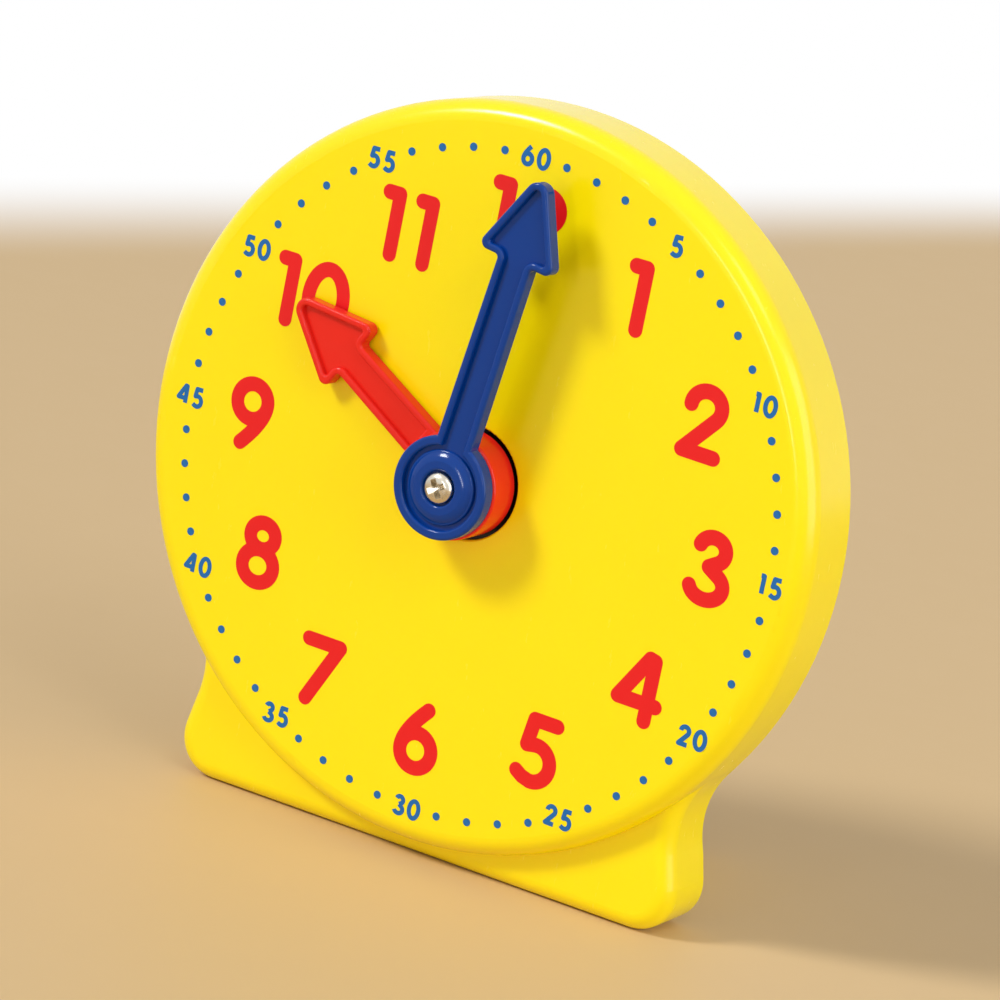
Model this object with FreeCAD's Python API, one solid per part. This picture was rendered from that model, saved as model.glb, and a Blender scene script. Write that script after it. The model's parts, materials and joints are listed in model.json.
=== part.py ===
import FreeCAD, Part

import math
import os

# Geared teaching clock, a student's model clock.
# X runs to the right of the dial, Z up, and Y from the dial's face towards the back.
# The pieces are drawn with Y = 0 at the flat face of the dial and Z = 0 at the surface
# that the clock stands on.  They are written out with the origin at the middle of the
# front housing's flat underside.  All sizes are in millimetres and degrees.
# The dial's print sits slightly turned on the moulding, so the hands, which show a time
# on the print, are turned by the same angle.

V = FreeCAD.Vector

# ---- driving dimensions: housing --------------------------------------------------
DIAL_RADIUS = 63.5
AXIS_HEIGHT = 66.5
DIAL_EDGE_RADIUS = 3.5
BODY_DEPTH = 14.5
WALL = 2.0
FRONT_WALL = 2.0
LEDGE = 0.8
HUB_HOLE_RADIUS = 9.75
HUB_HOLE_EDGE = 0.3

FOOT_HALF_WIDTH = 51.1
FOOT_SIDE_SLOPE = 12.7
FOOT_NECK_RADIUS = 16.5
FOOT_CORNER_RADIUS = 7.2
FOOT_SETBACK = 4.2
FOOT_EDGE_RADIUS = 3.0
FOOT_DEPTH = 16.7
FOOT_BLOCK_HEIGHT = 13.0
FOOT_SLOPE_HEIGHT = 30.0
FOOT_SHOULDER_RADIUS = 5.0

# ---- driving dimensions: cover and fasteners --------------------------------------
COVER_THICKNESS = 2.0
COVER_GAP = 0.15
COVER_STEP = 0.5
COVER_STEP_WIDTH = 3.0
COVER_RIB_RADIUS = 41.0
COVER_RIB_HEIGHT = 0.7
RIB = 1.2
BOSS_RADIUS = 3.6
BOSS_TOP = 10.9
SCREW_SEAT = BOSS_TOP + RIB
SEAT_RADIUS = 4.4
COVER_SCREW_CIRCLE = 54.0
COVER_SCREW_ANGLES = (0.0, 50.0, 130.0, 180.0)
FOOT_SCREW_X = 41.5
FOOT_SCREW_Z = 10.0
DIAL_RIB_RADIUS = 34.0
DIAL_RIB_HEIGHT = 2.4
DIAL_RIB_ANGLES = (-20.0, 25.0, 70.0, 110.0, 155.0, 200.0)

HEEL_HALF_WIDTH = 31.0
HEEL_HEIGHT = 27.0
HEEL_DEPTH = 58.0
HEEL_WALL = 3.6
HEEL_TOP_CORNER = 8.0
HEEL_BOTTOM_CORNER = 4.5
HEEL_EDGE = 4.2

COVER_SCREW = {"head": 2.6, "head_height": 1.6, "shank": 1.25, "length": 8.0}
BRIDGE_SCREW = {"head": 2.2, "head_height": 1.1, "shank": 0.9, "length": 6.0}
HAND_SCREW = {"head": 2.7, "head_height": 1.7, "shank": 1.3, "length": 10.0}
RECESS_WIDTH = 0.36
RECESS_DEPTH = 0.55

# ---- driving dimensions: gear train -----------------------------------------------
MODULE = 0.8
PRESSURE_ANGLE = 25.0
ADDENDUM = 0.8
DEDENDUM = 1.0
BACKLASH = 0.14
MINUTE_TEETH = 15
TRANSFER_WHEEL_TEETH = 45
TRANSFER_PINION_TEETH = 12
HOUR_TEETH = 48
RUNNING_FIT = 0.06

# ---- driving dimensions: the stack along the axis, as Y ---------------------------
WASHER = 0.4
HOUR_WHEEL_FRONT = FRONT_WALL + 0.6
HOUR_WHEEL_BACK = HOUR_WHEEL_FRONT + 2.8
CLIP = 0.4
MINUTE_PINION_FRONT = HOUR_WHEEL_BACK + CLIP + WASHER
MINUTE_PINION_BACK = MINUTE_PINION_FRONT + 3.0
SPRING_HEIGHT = 0.8
BRIDGE_FRONT = MINUTE_PINION_BACK + SPRING_HEIGHT
BRIDGE_THICKNESS = 1.6
BRIDGE_LUG = 0.9
PIN_BOSS_BACK = FRONT_WALL + 0.4
TRANSFER_PINION_FRONT = PIN_BOSS_BACK + WASHER
TRANSFER_WHEEL_FRONT = MINUTE_PINION_FRONT + 0.2
TRANSFER_WHEEL_BACK = MINUTE_PINION_BACK - 0.2
TRANSFER_HUB_BACK = BRIDGE_FRONT - WASHER
COVER_FRONT = BODY_DEPTH - COVER_THICKNESS
FOOT_DROP = FOOT_DEPTH - BODY_DEPTH

# ---- driving dimensions: shafts and hubs ------------------------------------------
ARBOR_RADIUS = 3.0
ARBOR_FLAT = 2.4
ARBOR_TAIL_RADIUS = 2.2
PIN_RADIUS = 1.5
PIN_SEAT = 1.2
PIPE_RADIUS = 5.0
PIPE_FLAT = 4.2
NECK_RADIUS = 3.4
NECK_FLAT = 2.8
BRIDGE_POST_RADIUS = 3.2
BRIDGE_LUG_RADIUS = 5.0
BRIDGE_POSTS = ((-25.5, AXIS_HEIGHT + 6.0), (25.5, AXIS_HEIGHT + 6.0), (0.0, AXIS_HEIGHT - 47.5))
BRIDGE_HOLES = ((-12.5, AXIS_HEIGHT - 5.0), (12.5, AXIS_HEIGHT - 5.0))

# ---- driving dimensions: hands ----------------------------------------------------
MINUTES_PAST_TEN = 1.3
PRINT_TURN = 0.8
MINUTE_ANGLE = PRINT_TURN + 6.0 * MINUTES_PAST_TEN
HOUR_ANGLE = PRINT_TURN + 300.0 + 0.5 * MINUTES_PAST_TEN
BLADE_THICKNESS = 2.6
BLADE_RIM = 1.3
BLADE_RECESS = 1.1
BLADE_EDGE = 0.5
HOUR_HAND = {"tip": 45.2, "head_back": 28.7, "head_half": 7.6, "shaft_half": 3.3,
             "root_half": 3.5, "face": -3.2}
MINUTE_HAND = {"tip": 57.0, "head_back": 40.3, "head_half": 7.6, "shaft_half": 3.2,
               "root_half": 3.45, "face": -9.2}
TIP_RADIUS = 2.1
BARB_RADIUS = 1.3
NOTCH_RADIUS = 0.7

HOUR_HUB_RADIUS = 9.1
HOUR_HUB_FACE = -6.4
HOUR_HUB_JOURNAL = 9.69
HOUR_HUB_JOURNAL_FRONT = 1.4
HOUR_HUB_WALL = 1.7
MINUTE_HUB_RADIUS = 8.77
MINUTE_HUB_RIM = 7.1
MINUTE_HUB_DISC = 6.35
MINUTE_HUB_DISC_FACE = -9.4
MINUTE_HUB_DISC_EDGE = -8.7
MINUTE_HUB_CROWN = 4.5
MINUTE_BOSS_RADIUS = 4.4
MINUTE_BOSS_BACK = -4.0
DISH_RADIUS = 3.7
DISH_FLOOR_RADIUS = 2.95
DISH_FLOOR = -8.6

# ---- places worked out from the driving dimensions --------------------------------
CENTRE_DISTANCE = MODULE * (MINUTE_TEETH + TRANSFER_WHEEL_TEETH) / 2.0
TRANSFER_HEIGHT = AXIS_HEIGHT - CENTRE_DISTANCE
HALF_TURN = 180.0
FOOT_MIDDLE = (FOOT_SETBACK + FOOT_EDGE_RADIUS + FOOT_DEPTH) / 2.0


def polar(radius, angle, z=AXIS_HEIGHT):
    """X and Z of a point at an angle from +X about the dial's axis or another one."""
    turn = math.radians(angle)
    return radius * math.cos(turn), z + radius * math.sin(turn)


def drum(radius, front, back, x=0.0, z=AXIS_HEIGHT):
    """A cylinder along Y between two depths."""
    return Part.makeCylinder(radius, back - front, V(x, front, z), V(0, 1, 0))


def ring(outer, inner, front, back, x=0.0, z=AXIS_HEIGHT):
    """A washer or tube along Y."""
    return drum(outer, front, back, x, z).cut(drum(inner, front - 1.0, back + 1.0, x, z))


def slab(x0, x1, front, back, z0, z1):
    """A box between two corners."""
    return Part.makeBox(x1 - x0, back - front, z1 - z0, V(x0, front, z0))


def plate(wire, front, back):
    """Thickness given to a closed outline that was drawn at Y = 0."""
    face = Part.Face(wire)
    face.translate(V(0, front, 0))
    return face.extrude(V(0, back - front, 0))


def line(start, end):
    return Part.LineSegment(start, end).toShape()


def arc(start, middle, end):
    return Part.Arc(start, middle, end).toShape()


def turned(steps, x=0.0, z=AXIS_HEIGHT):
    """A body of revolution about Y.  Each step is the (radius, y) of a corner, or a pair
    of them, the middle and the end of an arc."""
    def spot(pair):
        return V(x + pair[0], pair[1], z)

    edges = []
    here = spot(steps[0])
    for step in list(steps[1:]) + [steps[0]]:
        if isinstance(step[0], tuple):
            edges.append(arc(here, spot(step[0]), spot(step[1])))
            here = spot(step[1])
        elif here.distanceToPoint(spot(step)) > 1e-6:
            edges.append(line(here, spot(step)))
            here = spot(step)
    return Part.Face(Part.Wire(edges)).revolve(V(x, 0, z), V(0, 1, 0), 360.0)


def quarter(centre, radius, start, end):
    """Middle and end of an arc about a (radius, y) centre, by its angles in that plane."""
    def spot(angle):
        turn = math.radians(angle)
        return centre[0] + radius * math.cos(turn), centre[1] + radius * math.sin(turn)

    return spot((start + end) / 2.0), spot(end)


def flatted(radius, flat, front, back, x=0.0, z=AXIS_HEIGHT, turn=0.0):
    """A round shaft with two flats, so that what sits on it can't turn."""
    block = slab(x - flat, x + flat, front, back, z - radius, z + radius)
    block.rotate(V(x, 0, z), V(0, 1, 0), turn)
    return drum(radius, front, back, x, z).common(block)


# ---- housing ----------------------------------------------------------------------
def foot_side(inset):
    """The foot's right-hand side in the XZ plane, moved inwards by an inset: the neck
    arc's two ends and middle, and the corner arc's two ends and middle."""
    lean = math.radians(FOOT_SIDE_SLOPE)
    up = V(-math.sin(lean), 0, math.cos(lean))
    out = V(math.cos(lean), 0, math.sin(lean))
    dial = V(0, 0, AXIS_HEIGHT)
    radius = DIAL_RADIUS - inset
    neck = FOOT_NECK_RADIUS + inset
    corner = FOOT_CORNER_RADIUS - inset
    base = V(FOOT_HALF_WIDTH, 0, 0) - out * inset

    # the neck arc's centre is its radius away from the side, and from the dial's edge
    start = base + out * neck
    to_start = start - dial
    half_b = to_start.dot(up)
    rest = to_start.dot(to_start) - (radius + neck) ** 2
    centre = start + up * (-half_b - math.sqrt(half_b ** 2 - rest))
    on_dial = dial + (centre - dial) * (radius / (radius + neck))
    on_side = centre - out * neck
    towards = (dial - centre).normalize() - out
    neck_middle = centre + towards.normalize() * neck

    # the corner arc touches the side and the underside
    height = inset + corner
    travel = (height - (base - out * corner).z) / up.z
    pivot = base - out * corner + up * travel
    side_end = pivot + out * corner
    bottom_end = V(pivot.x, 0, inset)
    corner_middle = pivot + (out + V(0, 0, -1)).normalize() * corner
    return on_dial, neck_middle, on_side, side_end, corner_middle, bottom_end


def mirrored(point):
    return V(-point.x, point.y, point.z)


def body_outline(inset=0.0):
    """The whole outline of dial and foot, moved inwards by an inset."""
    on_dial, neck, on_side, side_end, corner, bottom = foot_side(inset)
    top = V(0, 0, AXIS_HEIGHT + DIAL_RADIUS - inset)
    right = [arc(on_dial, neck, on_side), line(on_side, side_end), arc(side_end, corner, bottom)]
    left = [arc(mirrored(bottom), mirrored(corner), mirrored(side_end)),
            line(mirrored(side_end), mirrored(on_side)),
            arc(mirrored(on_side), mirrored(neck), mirrored(on_dial))]
    over = arc(mirrored(on_dial), top, on_dial)
    return Part.Wire(right + [line(bottom, mirrored(bottom))] + left + [over])


def rounded_disc(radius, edge, front, back):
    """A disc whose front edge is rounded."""
    round_edge = quarter((radius - edge, front + edge), edge, -90.0, 0.0)
    return turned([(0.0, front), (radius - edge, front), round_edge, (radius, back), (0.0, back)])


def depth_limit(inset=0.0):
    """The side view of the body: as deep as the dial above, and a deeper block below.
    An inset moves its back forwards, at a right angle to each of its faces."""
    over = 10.0
    lean = math.atan2(FOOT_DROP, FOOT_SLOPE_HEIGHT - FOOT_BLOCK_HEIGHT)
    lower = inset * math.tan(lean / 2.0)
    deep = FOOT_DEPTH - inset
    shallow = BODY_DEPTH - inset
    top = 2.0 * DIAL_RADIUS + over
    outer_bend = V(0, deep, FOOT_BLOCK_HEIGHT - lower)
    inner_bend = V(0, shallow, FOOT_SLOPE_HEIGHT - lower)
    side = [V(0, -over, -over), V(0, deep, -over), outer_bend, inner_bend, V(0, shallow, top),
            V(0, -over, top)]
    edges = [line(a, b) for a, b in zip(side, side[1:] + side[:1])]
    face = Part.Face(Part.Wire(edges))
    width = 2.0 * (DIAL_RADIUS + over)
    face.translate(V(-width / 2.0, 0, 0))
    block = face.extrude(V(width, 0, 0))
    for bend, radius in ((outer_bend, FOOT_SHOULDER_RADIUS - inset),
                         (inner_bend, FOOT_SHOULDER_RADIUS + inset)):
        block = block.makeFillet(radius, [edge for edge in block.Edges
                                          if edge.CenterOfMass.distanceToPoint(bend) < 1e-6])
    return block


def front_edges(shape, front):
    """The edges that lie in the plane of a front face."""
    return [edge for edge in shape.Edges
            if abs(edge.BoundBox.YMin - front) < 1e-6 and abs(edge.BoundBox.YMax - front) < 1e-6]


def body_blank():
    """Dial and foot as one solid block with rounded front edges."""
    block = plate(body_outline(), FOOT_SETBACK, FOOT_DEPTH + 1.0)
    block = block.makeFillet(FOOT_EDGE_RADIUS, front_edges(block, FOOT_SETBACK))
    block = block.common(depth_limit())
    dial = rounded_disc(DIAL_RADIUS, DIAL_EDGE_RADIUS, 0.0, BODY_DEPTH)
    return block.fuse(dial).removeSplitter()


def body_cavity():
    """The inside of the housing, wider behind the ledge that the cover sits on."""
    inner_edge = DIAL_EDGE_RADIUS - WALL
    ledge = depth_limit(COVER_THICKNESS)
    dial = rounded_disc(DIAL_RADIUS - WALL - LEDGE, inner_edge, FRONT_WALL, COVER_FRONT)
    foot = plate(body_outline(WALL + LEDGE), FOOT_SETBACK + FRONT_WALL, FOOT_DEPTH).common(ledge)
    back = plate(body_outline(WALL), FOOT_SETBACK + FRONT_WALL, FOOT_DEPTH + 1.0).cut(ledge)
    return dial.fuse(foot).fuse(back)


def dial_screw_places():
    """X and Z of the cover's screws behind the dial."""
    return [polar(COVER_SCREW_CIRCLE, angle) for angle in COVER_SCREW_ANGLES]


def foot_screw_places():
    """X and Z of the cover's screws in the foot."""
    return [(-FOOT_SCREW_X, FOOT_SCREW_Z), (FOOT_SCREW_X, FOOT_SCREW_Z)]


def cover_screw_places():
    """X and Z of each of the cover's screws, and how much further back than the screws
    behind the dial it stands."""
    behind_dial = [(x, z, 0.0) for x, z in dial_screw_places()]
    return behind_dial + [(x, z, FOOT_DROP) for x, z in foot_screw_places()]


def screw_boss(x, z):
    """A screw boss with a gusset that ties it to the nearest wall."""
    boss = drum(BOSS_RADIUS, FRONT_WALL, BOSS_TOP, x, z)
    reach = DIAL_RADIUS - WALL - COVER_SCREW_CIRCLE
    angle = math.degrees(math.atan2(z - AXIS_HEIGHT, x))
    gusset = slab(x, x + reach, FRONT_WALL, BOSS_TOP - 1.0, z - RIB / 2.0, z + RIB / 2.0)
    gusset.rotate(V(x, 0, z), V(0, 1, 0), -angle)
    return boss.fuse(gusset)


def foot_boss(x, z):
    """A screw boss in the foot, tied to the underside by a gusset."""
    front = FOOT_SETBACK + FRONT_WALL - 0.5
    top = BOSS_TOP + FOOT_DROP
    boss = drum(BOSS_RADIUS, front, top, x, z)
    gusset = slab(x - RIB / 2.0, x + RIB / 2.0, front, top - 1.0, WALL, z)
    return boss.fuse(gusset)


def dial_ribs():
    """A ring and spokes behind the dial that keep it flat."""
    back = FRONT_WALL + DIAL_RIB_HEIGHT
    ribs = ring(DIAL_RIB_RADIUS + RIB, DIAL_RIB_RADIUS, FRONT_WALL, back)
    for angle in DIAL_RIB_ANGLES:
        spoke = slab(DIAL_RIB_RADIUS + RIB / 2.0, DIAL_RADIUS - WALL, FRONT_WALL, back,
                     AXIS_HEIGHT - RIB / 2.0, AXIS_HEIGHT + RIB / 2.0)
        spoke.rotate(V(0, 0, AXIS_HEIGHT), V(0, 1, 0), -angle)
        ribs = ribs.fuse(spoke)
    return ribs


def front_housing():
    shell = body_blank().cut(body_cavity())
    for x, z in dial_screw_places():
        shell = shell.fuse(screw_boss(x, z))
    for x, z in foot_screw_places():
        shell = shell.fuse(foot_boss(x, z))
    shell = shell.fuse(dial_ribs())
    for x, z in BRIDGE_POSTS:
        shell = shell.fuse(drum(BRIDGE_POST_RADIUS, FRONT_WALL, BRIDGE_FRONT, x, z))
    shell = shell.fuse(drum(2.5 * PIN_RADIUS, FRONT_WALL, PIN_BOSS_BACK, 0.0, TRANSFER_HEIGHT))
    shell = shell.common(depth_limit())

    hole = drum(HUB_HOLE_RADIUS, -1.0, FRONT_WALL + 1.0)
    lip = quarter((HUB_HOLE_RADIUS + HUB_HOLE_EDGE, HUB_HOLE_EDGE), HUB_HOLE_EDGE, -180.0, -90.0)
    mouth = turned([(0.0, HUB_HOLE_EDGE), (HUB_HOLE_RADIUS, HUB_HOLE_EDGE), lip,
                    (HUB_HOLE_RADIUS + HUB_HOLE_EDGE, -1.0), (0.0, -1.0)])
    shell = shell.cut(hole).cut(mouth)
    bottom = SCREW_SEAT - COVER_SCREW["length"] - 0.5
    for x, z, further in cover_screw_places():
        shell = shell.cut(drum(COVER_SCREW["shank"], bottom + further, BOSS_TOP + further + 1.0, x, z))
    for x, z in BRIDGE_POSTS:
        bottom = BRIDGE_FRONT + BRIDGE_LUG - BRIDGE_SCREW["length"] - 0.5
        shell = shell.cut(drum(BRIDGE_SCREW["shank"], bottom, BRIDGE_FRONT + 1.0, x, z))
    pin_front = PIN_BOSS_BACK - PIN_SEAT
    return shell.cut(drum(PIN_RADIUS, pin_front, PIN_BOSS_BACK + 1.0, 0.0, TRANSFER_HEIGHT))


def heel_block(inset, floor, front, back):
    """A block with leaning sides and rounded corners, down to a floor, with its sides, top
    and rear edges moved inwards by an inset."""
    lean = math.radians(FOOT_SIDE_SLOPE)
    top = HEEL_HEIGHT - inset

    def half(height):
        return HEEL_HALF_WIDTH - inset / math.cos(lean) - height * math.tan(lean)

    corners = [V(-half(floor), 0, floor), V(-half(top), 0, top), V(half(top), 0, top),
               V(half(floor), 0, floor)]
    block = plate(Part.makePolygon(corners + corners[:1]), front, back)
    for height, radius in ((top, HEEL_TOP_CORNER - inset), (floor, HEEL_BOTTOM_CORNER - inset)):
        block = block.makeFillet(radius, [edge for edge in block.Edges
                                          if abs(edge.BoundBox.ZMin - height) < 1e-6
                                          and abs(edge.BoundBox.ZMax - height) < 1e-6
                                          and edge.BoundBox.YLength > 0.5 * (back - front)])
    return block.makeFillet(HEEL_EDGE - inset, front_edges(block, back))


def heel():
    """The heel behind the foot that keeps the clock from falling over.  It meets the rear
    end of the foot's underside and stands on the same surface."""
    behind = FOOT_DEPTH + COVER_GAP
    block = heel_block(0.0, 0.0, COVER_FRONT, HEEL_DEPTH)
    inside_walls = plate(body_outline(WALL + COVER_GAP), COVER_FRONT, FOOT_DEPTH + 1.0)
    room = inside_walls.fuse(slab(-DIAL_RADIUS, DIAL_RADIUS, behind, HEEL_DEPTH, 0.0, AXIS_HEIGHT))
    return block.common(room).cut(depth_limit(COVER_THICKNESS))


def heel_hollow():
    """The inside of the heel, open to the front.  Its floor steps up where the heel passes
    over the foot's own underside."""
    over_foot = WALL + COVER_GAP + HEEL_WALL
    step = FOOT_DEPTH + COVER_GAP + HEEL_WALL
    back = HEEL_DEPTH - HEEL_WALL
    low = heel_block(HEEL_WALL, HEEL_WALL, step, back)
    return low.fuse(heel_block(HEEL_WALL, over_foot, 0.0, back))


def rear_cover():
    """A shell that follows the body's back, with a step round its edge, the heel, a ring rib
    inside and a sunk seat for each screw."""
    edge = WALL + COVER_GAP
    step = plate(body_outline(edge), COVER_FRONT, FOOT_DEPTH).common(depth_limit(COVER_STEP))
    panel = plate(body_outline(edge + COVER_STEP_WIDTH), COVER_FRONT, FOOT_DEPTH + 1.0)
    cover = step.fuse(panel.common(depth_limit())).cut(depth_limit(COVER_THICKNESS))
    rib_front = COVER_FRONT - COVER_RIB_HEIGHT
    inside = ring(COVER_RIB_RADIUS + RIB, COVER_RIB_RADIUS, rib_front, FOOT_DEPTH)
    for x, z, further in cover_screw_places():
        inside = inside.fuse(drum(SEAT_RADIUS, BOSS_TOP + further, COVER_FRONT + further + 1.0, x, z))
    cover = cover.fuse(inside.common(depth_limit(COVER_THICKNESS / 2.0)))
    cover = cover.fuse(heel()).cut(heel_hollow())
    for x, z, further in cover_screw_places():
        seat = SCREW_SEAT + further
        cover = cover.cut(drum(COVER_SCREW["head"] + 0.4, seat, BODY_DEPTH + further + 1.0, x, z))
        cover = cover.cut(drum(COVER_SCREW["shank"] + 0.15, BOSS_TOP + further - 1.0, seat + 1.0, x, z))
    return cover.removeSplitter()


# ---- fasteners --------------------------------------------------------------------
def pan_screw(size, seat, x, z, towards):
    """A pan-head screw with a cross recess.  The head stands on its seat, and the shank
    runs the other way along Y: towards is +1 when that is to the back, -1 to the front."""
    head = size["head"]
    rise = size["head_height"]
    crown = 0.35 * rise
    soft = 0.45 * rise
    face = -rise
    shoulder = face + crown + soft
    body = turned([(0.0, 0.0), (head, 0.0), (head, shoulder),
                   ((head - 0.2 * soft, face + crown + 0.2 * soft), (head - soft, face + crown)),
                   ((0.5 * (head - soft), face + 0.28 * crown), (0.0, face))], 0.0, 0.0)
    point = size["shank"]
    shank = turned([(0.0, 0.0), (point, 0.0), (point, size["length"] - 1.5 * point),
                    (0.3 * point, size["length"]), (0.0, size["length"])], 0.0, 0.0)
    screw = body.fuse(shank)
    arm = 0.58 * head
    half = RECESS_WIDTH * head / 2.0
    floor = face + RECESS_DEPTH * rise
    for turn in (0.0, 90.0):
        slot = slab(-arm, arm, face - 1.0, floor, -half, half)
        slot.rotate(V(0, 0, 0), V(0, 1, 0), turn + 30.0)
        screw = screw.cut(slot)
    if towards < 0:
        screw.rotate(V(0, 0, 0), V(0, 0, 1), HALF_TURN)
    screw.translate(V(x, seat, z))
    return screw


def cover_screws():
    return Part.makeCompound([pan_screw(COVER_SCREW, SCREW_SEAT + further, x, z, -1)
                              for x, z, further in cover_screw_places()])


def bridge_screws():
    seat = BRIDGE_FRONT + BRIDGE_LUG
    return Part.makeCompound([pan_screw(BRIDGE_SCREW, seat, x, z, -1) for x, z in BRIDGE_POSTS])


def hand_screw():
    return pan_screw(HAND_SCREW, DISH_FLOOR, 0.0, AXIS_HEIGHT, 1)


# ---- gears ------------------------------------------------------------------------
def gear_blank(teeth, front, back, z, tooth_angle):
    """A spur gear with involute flanks about an axis along Y.  tooth_angle is where the
    middle of one tooth points, from +X towards +Z."""
    pitch = MODULE * teeth / 2.0
    base = pitch * math.cos(math.radians(PRESSURE_ANGLE))
    tip = pitch + ADDENDUM * MODULE
    root = pitch - DEDENDUM * MODULE
    pressed = math.radians(PRESSURE_ANGLE)
    half_pitch = (math.pi * MODULE / 2.0 - BACKLASH / 2.0) / (2.0 * pitch)

    def half_angle(radius):
        roll = math.acos(min(1.0, base / radius))
        return half_pitch + (math.tan(pressed) - pressed) - (math.tan(roll) - roll)

    def spot(radius, angle):
        return V(radius * math.cos(angle), 0, z + radius * math.sin(angle))

    low = max(base, root)
    middle = (low + tip) / 2.0
    step = 2.0 * math.pi / teeth
    edges = []
    for index in range(teeth):
        centre = math.radians(tooth_angle) + index * step
        following = centre + step
        rising = [spot(r, centre - half_angle(r)) for r in (low, middle, tip)]
        falling = [spot(r, centre + half_angle(r)) for r in (tip, middle, low)]
        foot_here = spot(root, centre + half_angle(low))
        foot_next = spot(root, following - half_angle(low))
        edges.append(arc(*rising))
        edges.append(arc(rising[2], spot(tip, centre), falling[0]))
        edges.append(arc(*falling))
        if root < base:
            edges.append(line(falling[2], foot_here))
        edges.append(arc(foot_here, spot(root, centre + step / 2.0), foot_next))
        if root < base:
            edges.append(line(foot_next, spot(low, following - half_angle(low))))
    return plate(Part.Wire(edges), front, back)


def hour_wheel():
    """48 teeth, recessed web with lightening holes, keyed on the hour hand's pipe."""
    wheel = gear_blank(HOUR_TEETH, HOUR_WHEEL_FRONT, HOUR_WHEEL_BACK, AXIS_HEIGHT, -90.0)
    rim = MODULE * HOUR_TEETH / 2.0 - 3.0
    hub = PIPE_RADIUS + 2.2
    web = 0.9
    wheel = wheel.cut(ring(rim, hub, HOUR_WHEEL_BACK - web, HOUR_WHEEL_BACK + 1.0))
    for index in range(6):
        x, z = polar((rim + hub) / 2.0, 60.0 * index + 30.0)
        wheel = wheel.cut(drum(2.6, HOUR_WHEEL_FRONT - 1.0, HOUR_WHEEL_BACK, x, z))
    key = flatted(PIPE_RADIUS, PIPE_FLAT, HOUR_WHEEL_FRONT - 1.0, HOUR_WHEEL_BACK + 1.0, turn=HOUR_ANGLE)
    return wheel.cut(key)


def minute_pinion():
    pinion = gear_blank(MINUTE_TEETH, MINUTE_PINION_FRONT, MINUTE_PINION_BACK, AXIS_HEIGHT, -90.0)
    return pinion.cut(flatted(ARBOR_RADIUS, ARBOR_FLAT, MINUTE_PINION_FRONT - 1.0,
                              MINUTE_PINION_BACK + 1.0, turn=MINUTE_ANGLE))


def transfer_wheel():
    """45 teeth and five spokes, keyed on the transfer pinion's neck."""
    gap_angle = 90.0 + HALF_TURN / TRANSFER_WHEEL_TEETH
    wheel = gear_blank(TRANSFER_WHEEL_TEETH, TRANSFER_WHEEL_FRONT, TRANSFER_WHEEL_BACK,
                       TRANSFER_HEIGHT, gap_angle)
    hub = NECK_RADIUS + 2.0
    rim = MODULE * TRANSFER_WHEEL_TEETH / 2.0 - 3.2
    window = ring(rim, hub + 1.2, TRANSFER_WHEEL_FRONT - 1.0, TRANSFER_WHEEL_BACK + 1.0,
                  0.0, TRANSFER_HEIGHT)
    for index in range(5):
        spoke = slab(0.0, rim + 1.0, TRANSFER_WHEEL_FRONT - 2.0, TRANSFER_WHEEL_BACK + 2.0,
                     TRANSFER_HEIGHT - 1.4, TRANSFER_HEIGHT + 1.4)
        spoke.rotate(V(0, 0, TRANSFER_HEIGHT), V(0, 1, 0), 72.0 * index + 18.0)
        window = window.cut(spoke)
    wheel = wheel.cut(window)
    wheel = wheel.fuse(drum(hub, TRANSFER_WHEEL_BACK, TRANSFER_HUB_BACK, 0.0, TRANSFER_HEIGHT))
    return wheel.cut(flatted(NECK_RADIUS, NECK_FLAT, TRANSFER_WHEEL_FRONT - 1.0,
                             TRANSFER_HUB_BACK + 1.0, 0.0, TRANSFER_HEIGHT))


def transfer_pinion():
    """12 teeth in front, and a neck with two flats that goes through the transfer wheel."""
    gap_angle = 90.0 + HALF_TURN / TRANSFER_PINION_TEETH
    pinion = gear_blank(TRANSFER_PINION_TEETH, TRANSFER_PINION_FRONT, TRANSFER_WHEEL_FRONT,
                        TRANSFER_HEIGHT, gap_angle)
    neck = flatted(NECK_RADIUS, NECK_FLAT, TRANSFER_WHEEL_FRONT, TRANSFER_HUB_BACK, 0.0, TRANSFER_HEIGHT)
    bore = drum(PIN_RADIUS + RUNNING_FIT, TRANSFER_PINION_FRONT - 1.0, TRANSFER_HUB_BACK + 1.0,
                0.0, TRANSFER_HEIGHT)
    return pinion.fuse(neck).cut(bore)


# ---- what carries the gears -------------------------------------------------------
def minute_arbor():
    """Flats in front for the hand, the long journal, flats for the pinion, and the tail."""
    nose = flatted(ARBOR_RADIUS - 0.2, ARBOR_FLAT - 0.4, MINUTE_BOSS_BACK - 2.6,
                   MINUTE_BOSS_BACK + 0.4, turn=MINUTE_ANGLE)
    journal = drum(ARBOR_RADIUS, MINUTE_BOSS_BACK + 0.4, MINUTE_PINION_FRONT)
    seat = flatted(ARBOR_RADIUS, ARBOR_FLAT, MINUTE_PINION_FRONT, MINUTE_PINION_BACK, turn=MINUTE_ANGLE)
    tail = drum(ARBOR_TAIL_RADIUS, MINUTE_PINION_BACK, BRIDGE_FRONT + BRIDGE_THICKNESS)
    arbor = nose.fuse(journal).fuse(seat).fuse(tail)
    depth = DISH_FLOOR + HAND_SCREW["length"] + 0.5
    return arbor.cut(drum(HAND_SCREW["shank"], MINUTE_BOSS_BACK - 4.0, depth))


def transfer_pin():
    front = PIN_BOSS_BACK - PIN_SEAT
    back = BRIDGE_FRONT + BRIDGE_THICKNESS
    bevel = 0.25
    return turned([(0.0, front), (PIN_RADIUS - bevel, front), (PIN_RADIUS, front + bevel),
                   (PIN_RADIUS, back - bevel), (PIN_RADIUS - bevel, back), (0.0, back)],
                  0.0, TRANSFER_HEIGHT)


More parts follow.
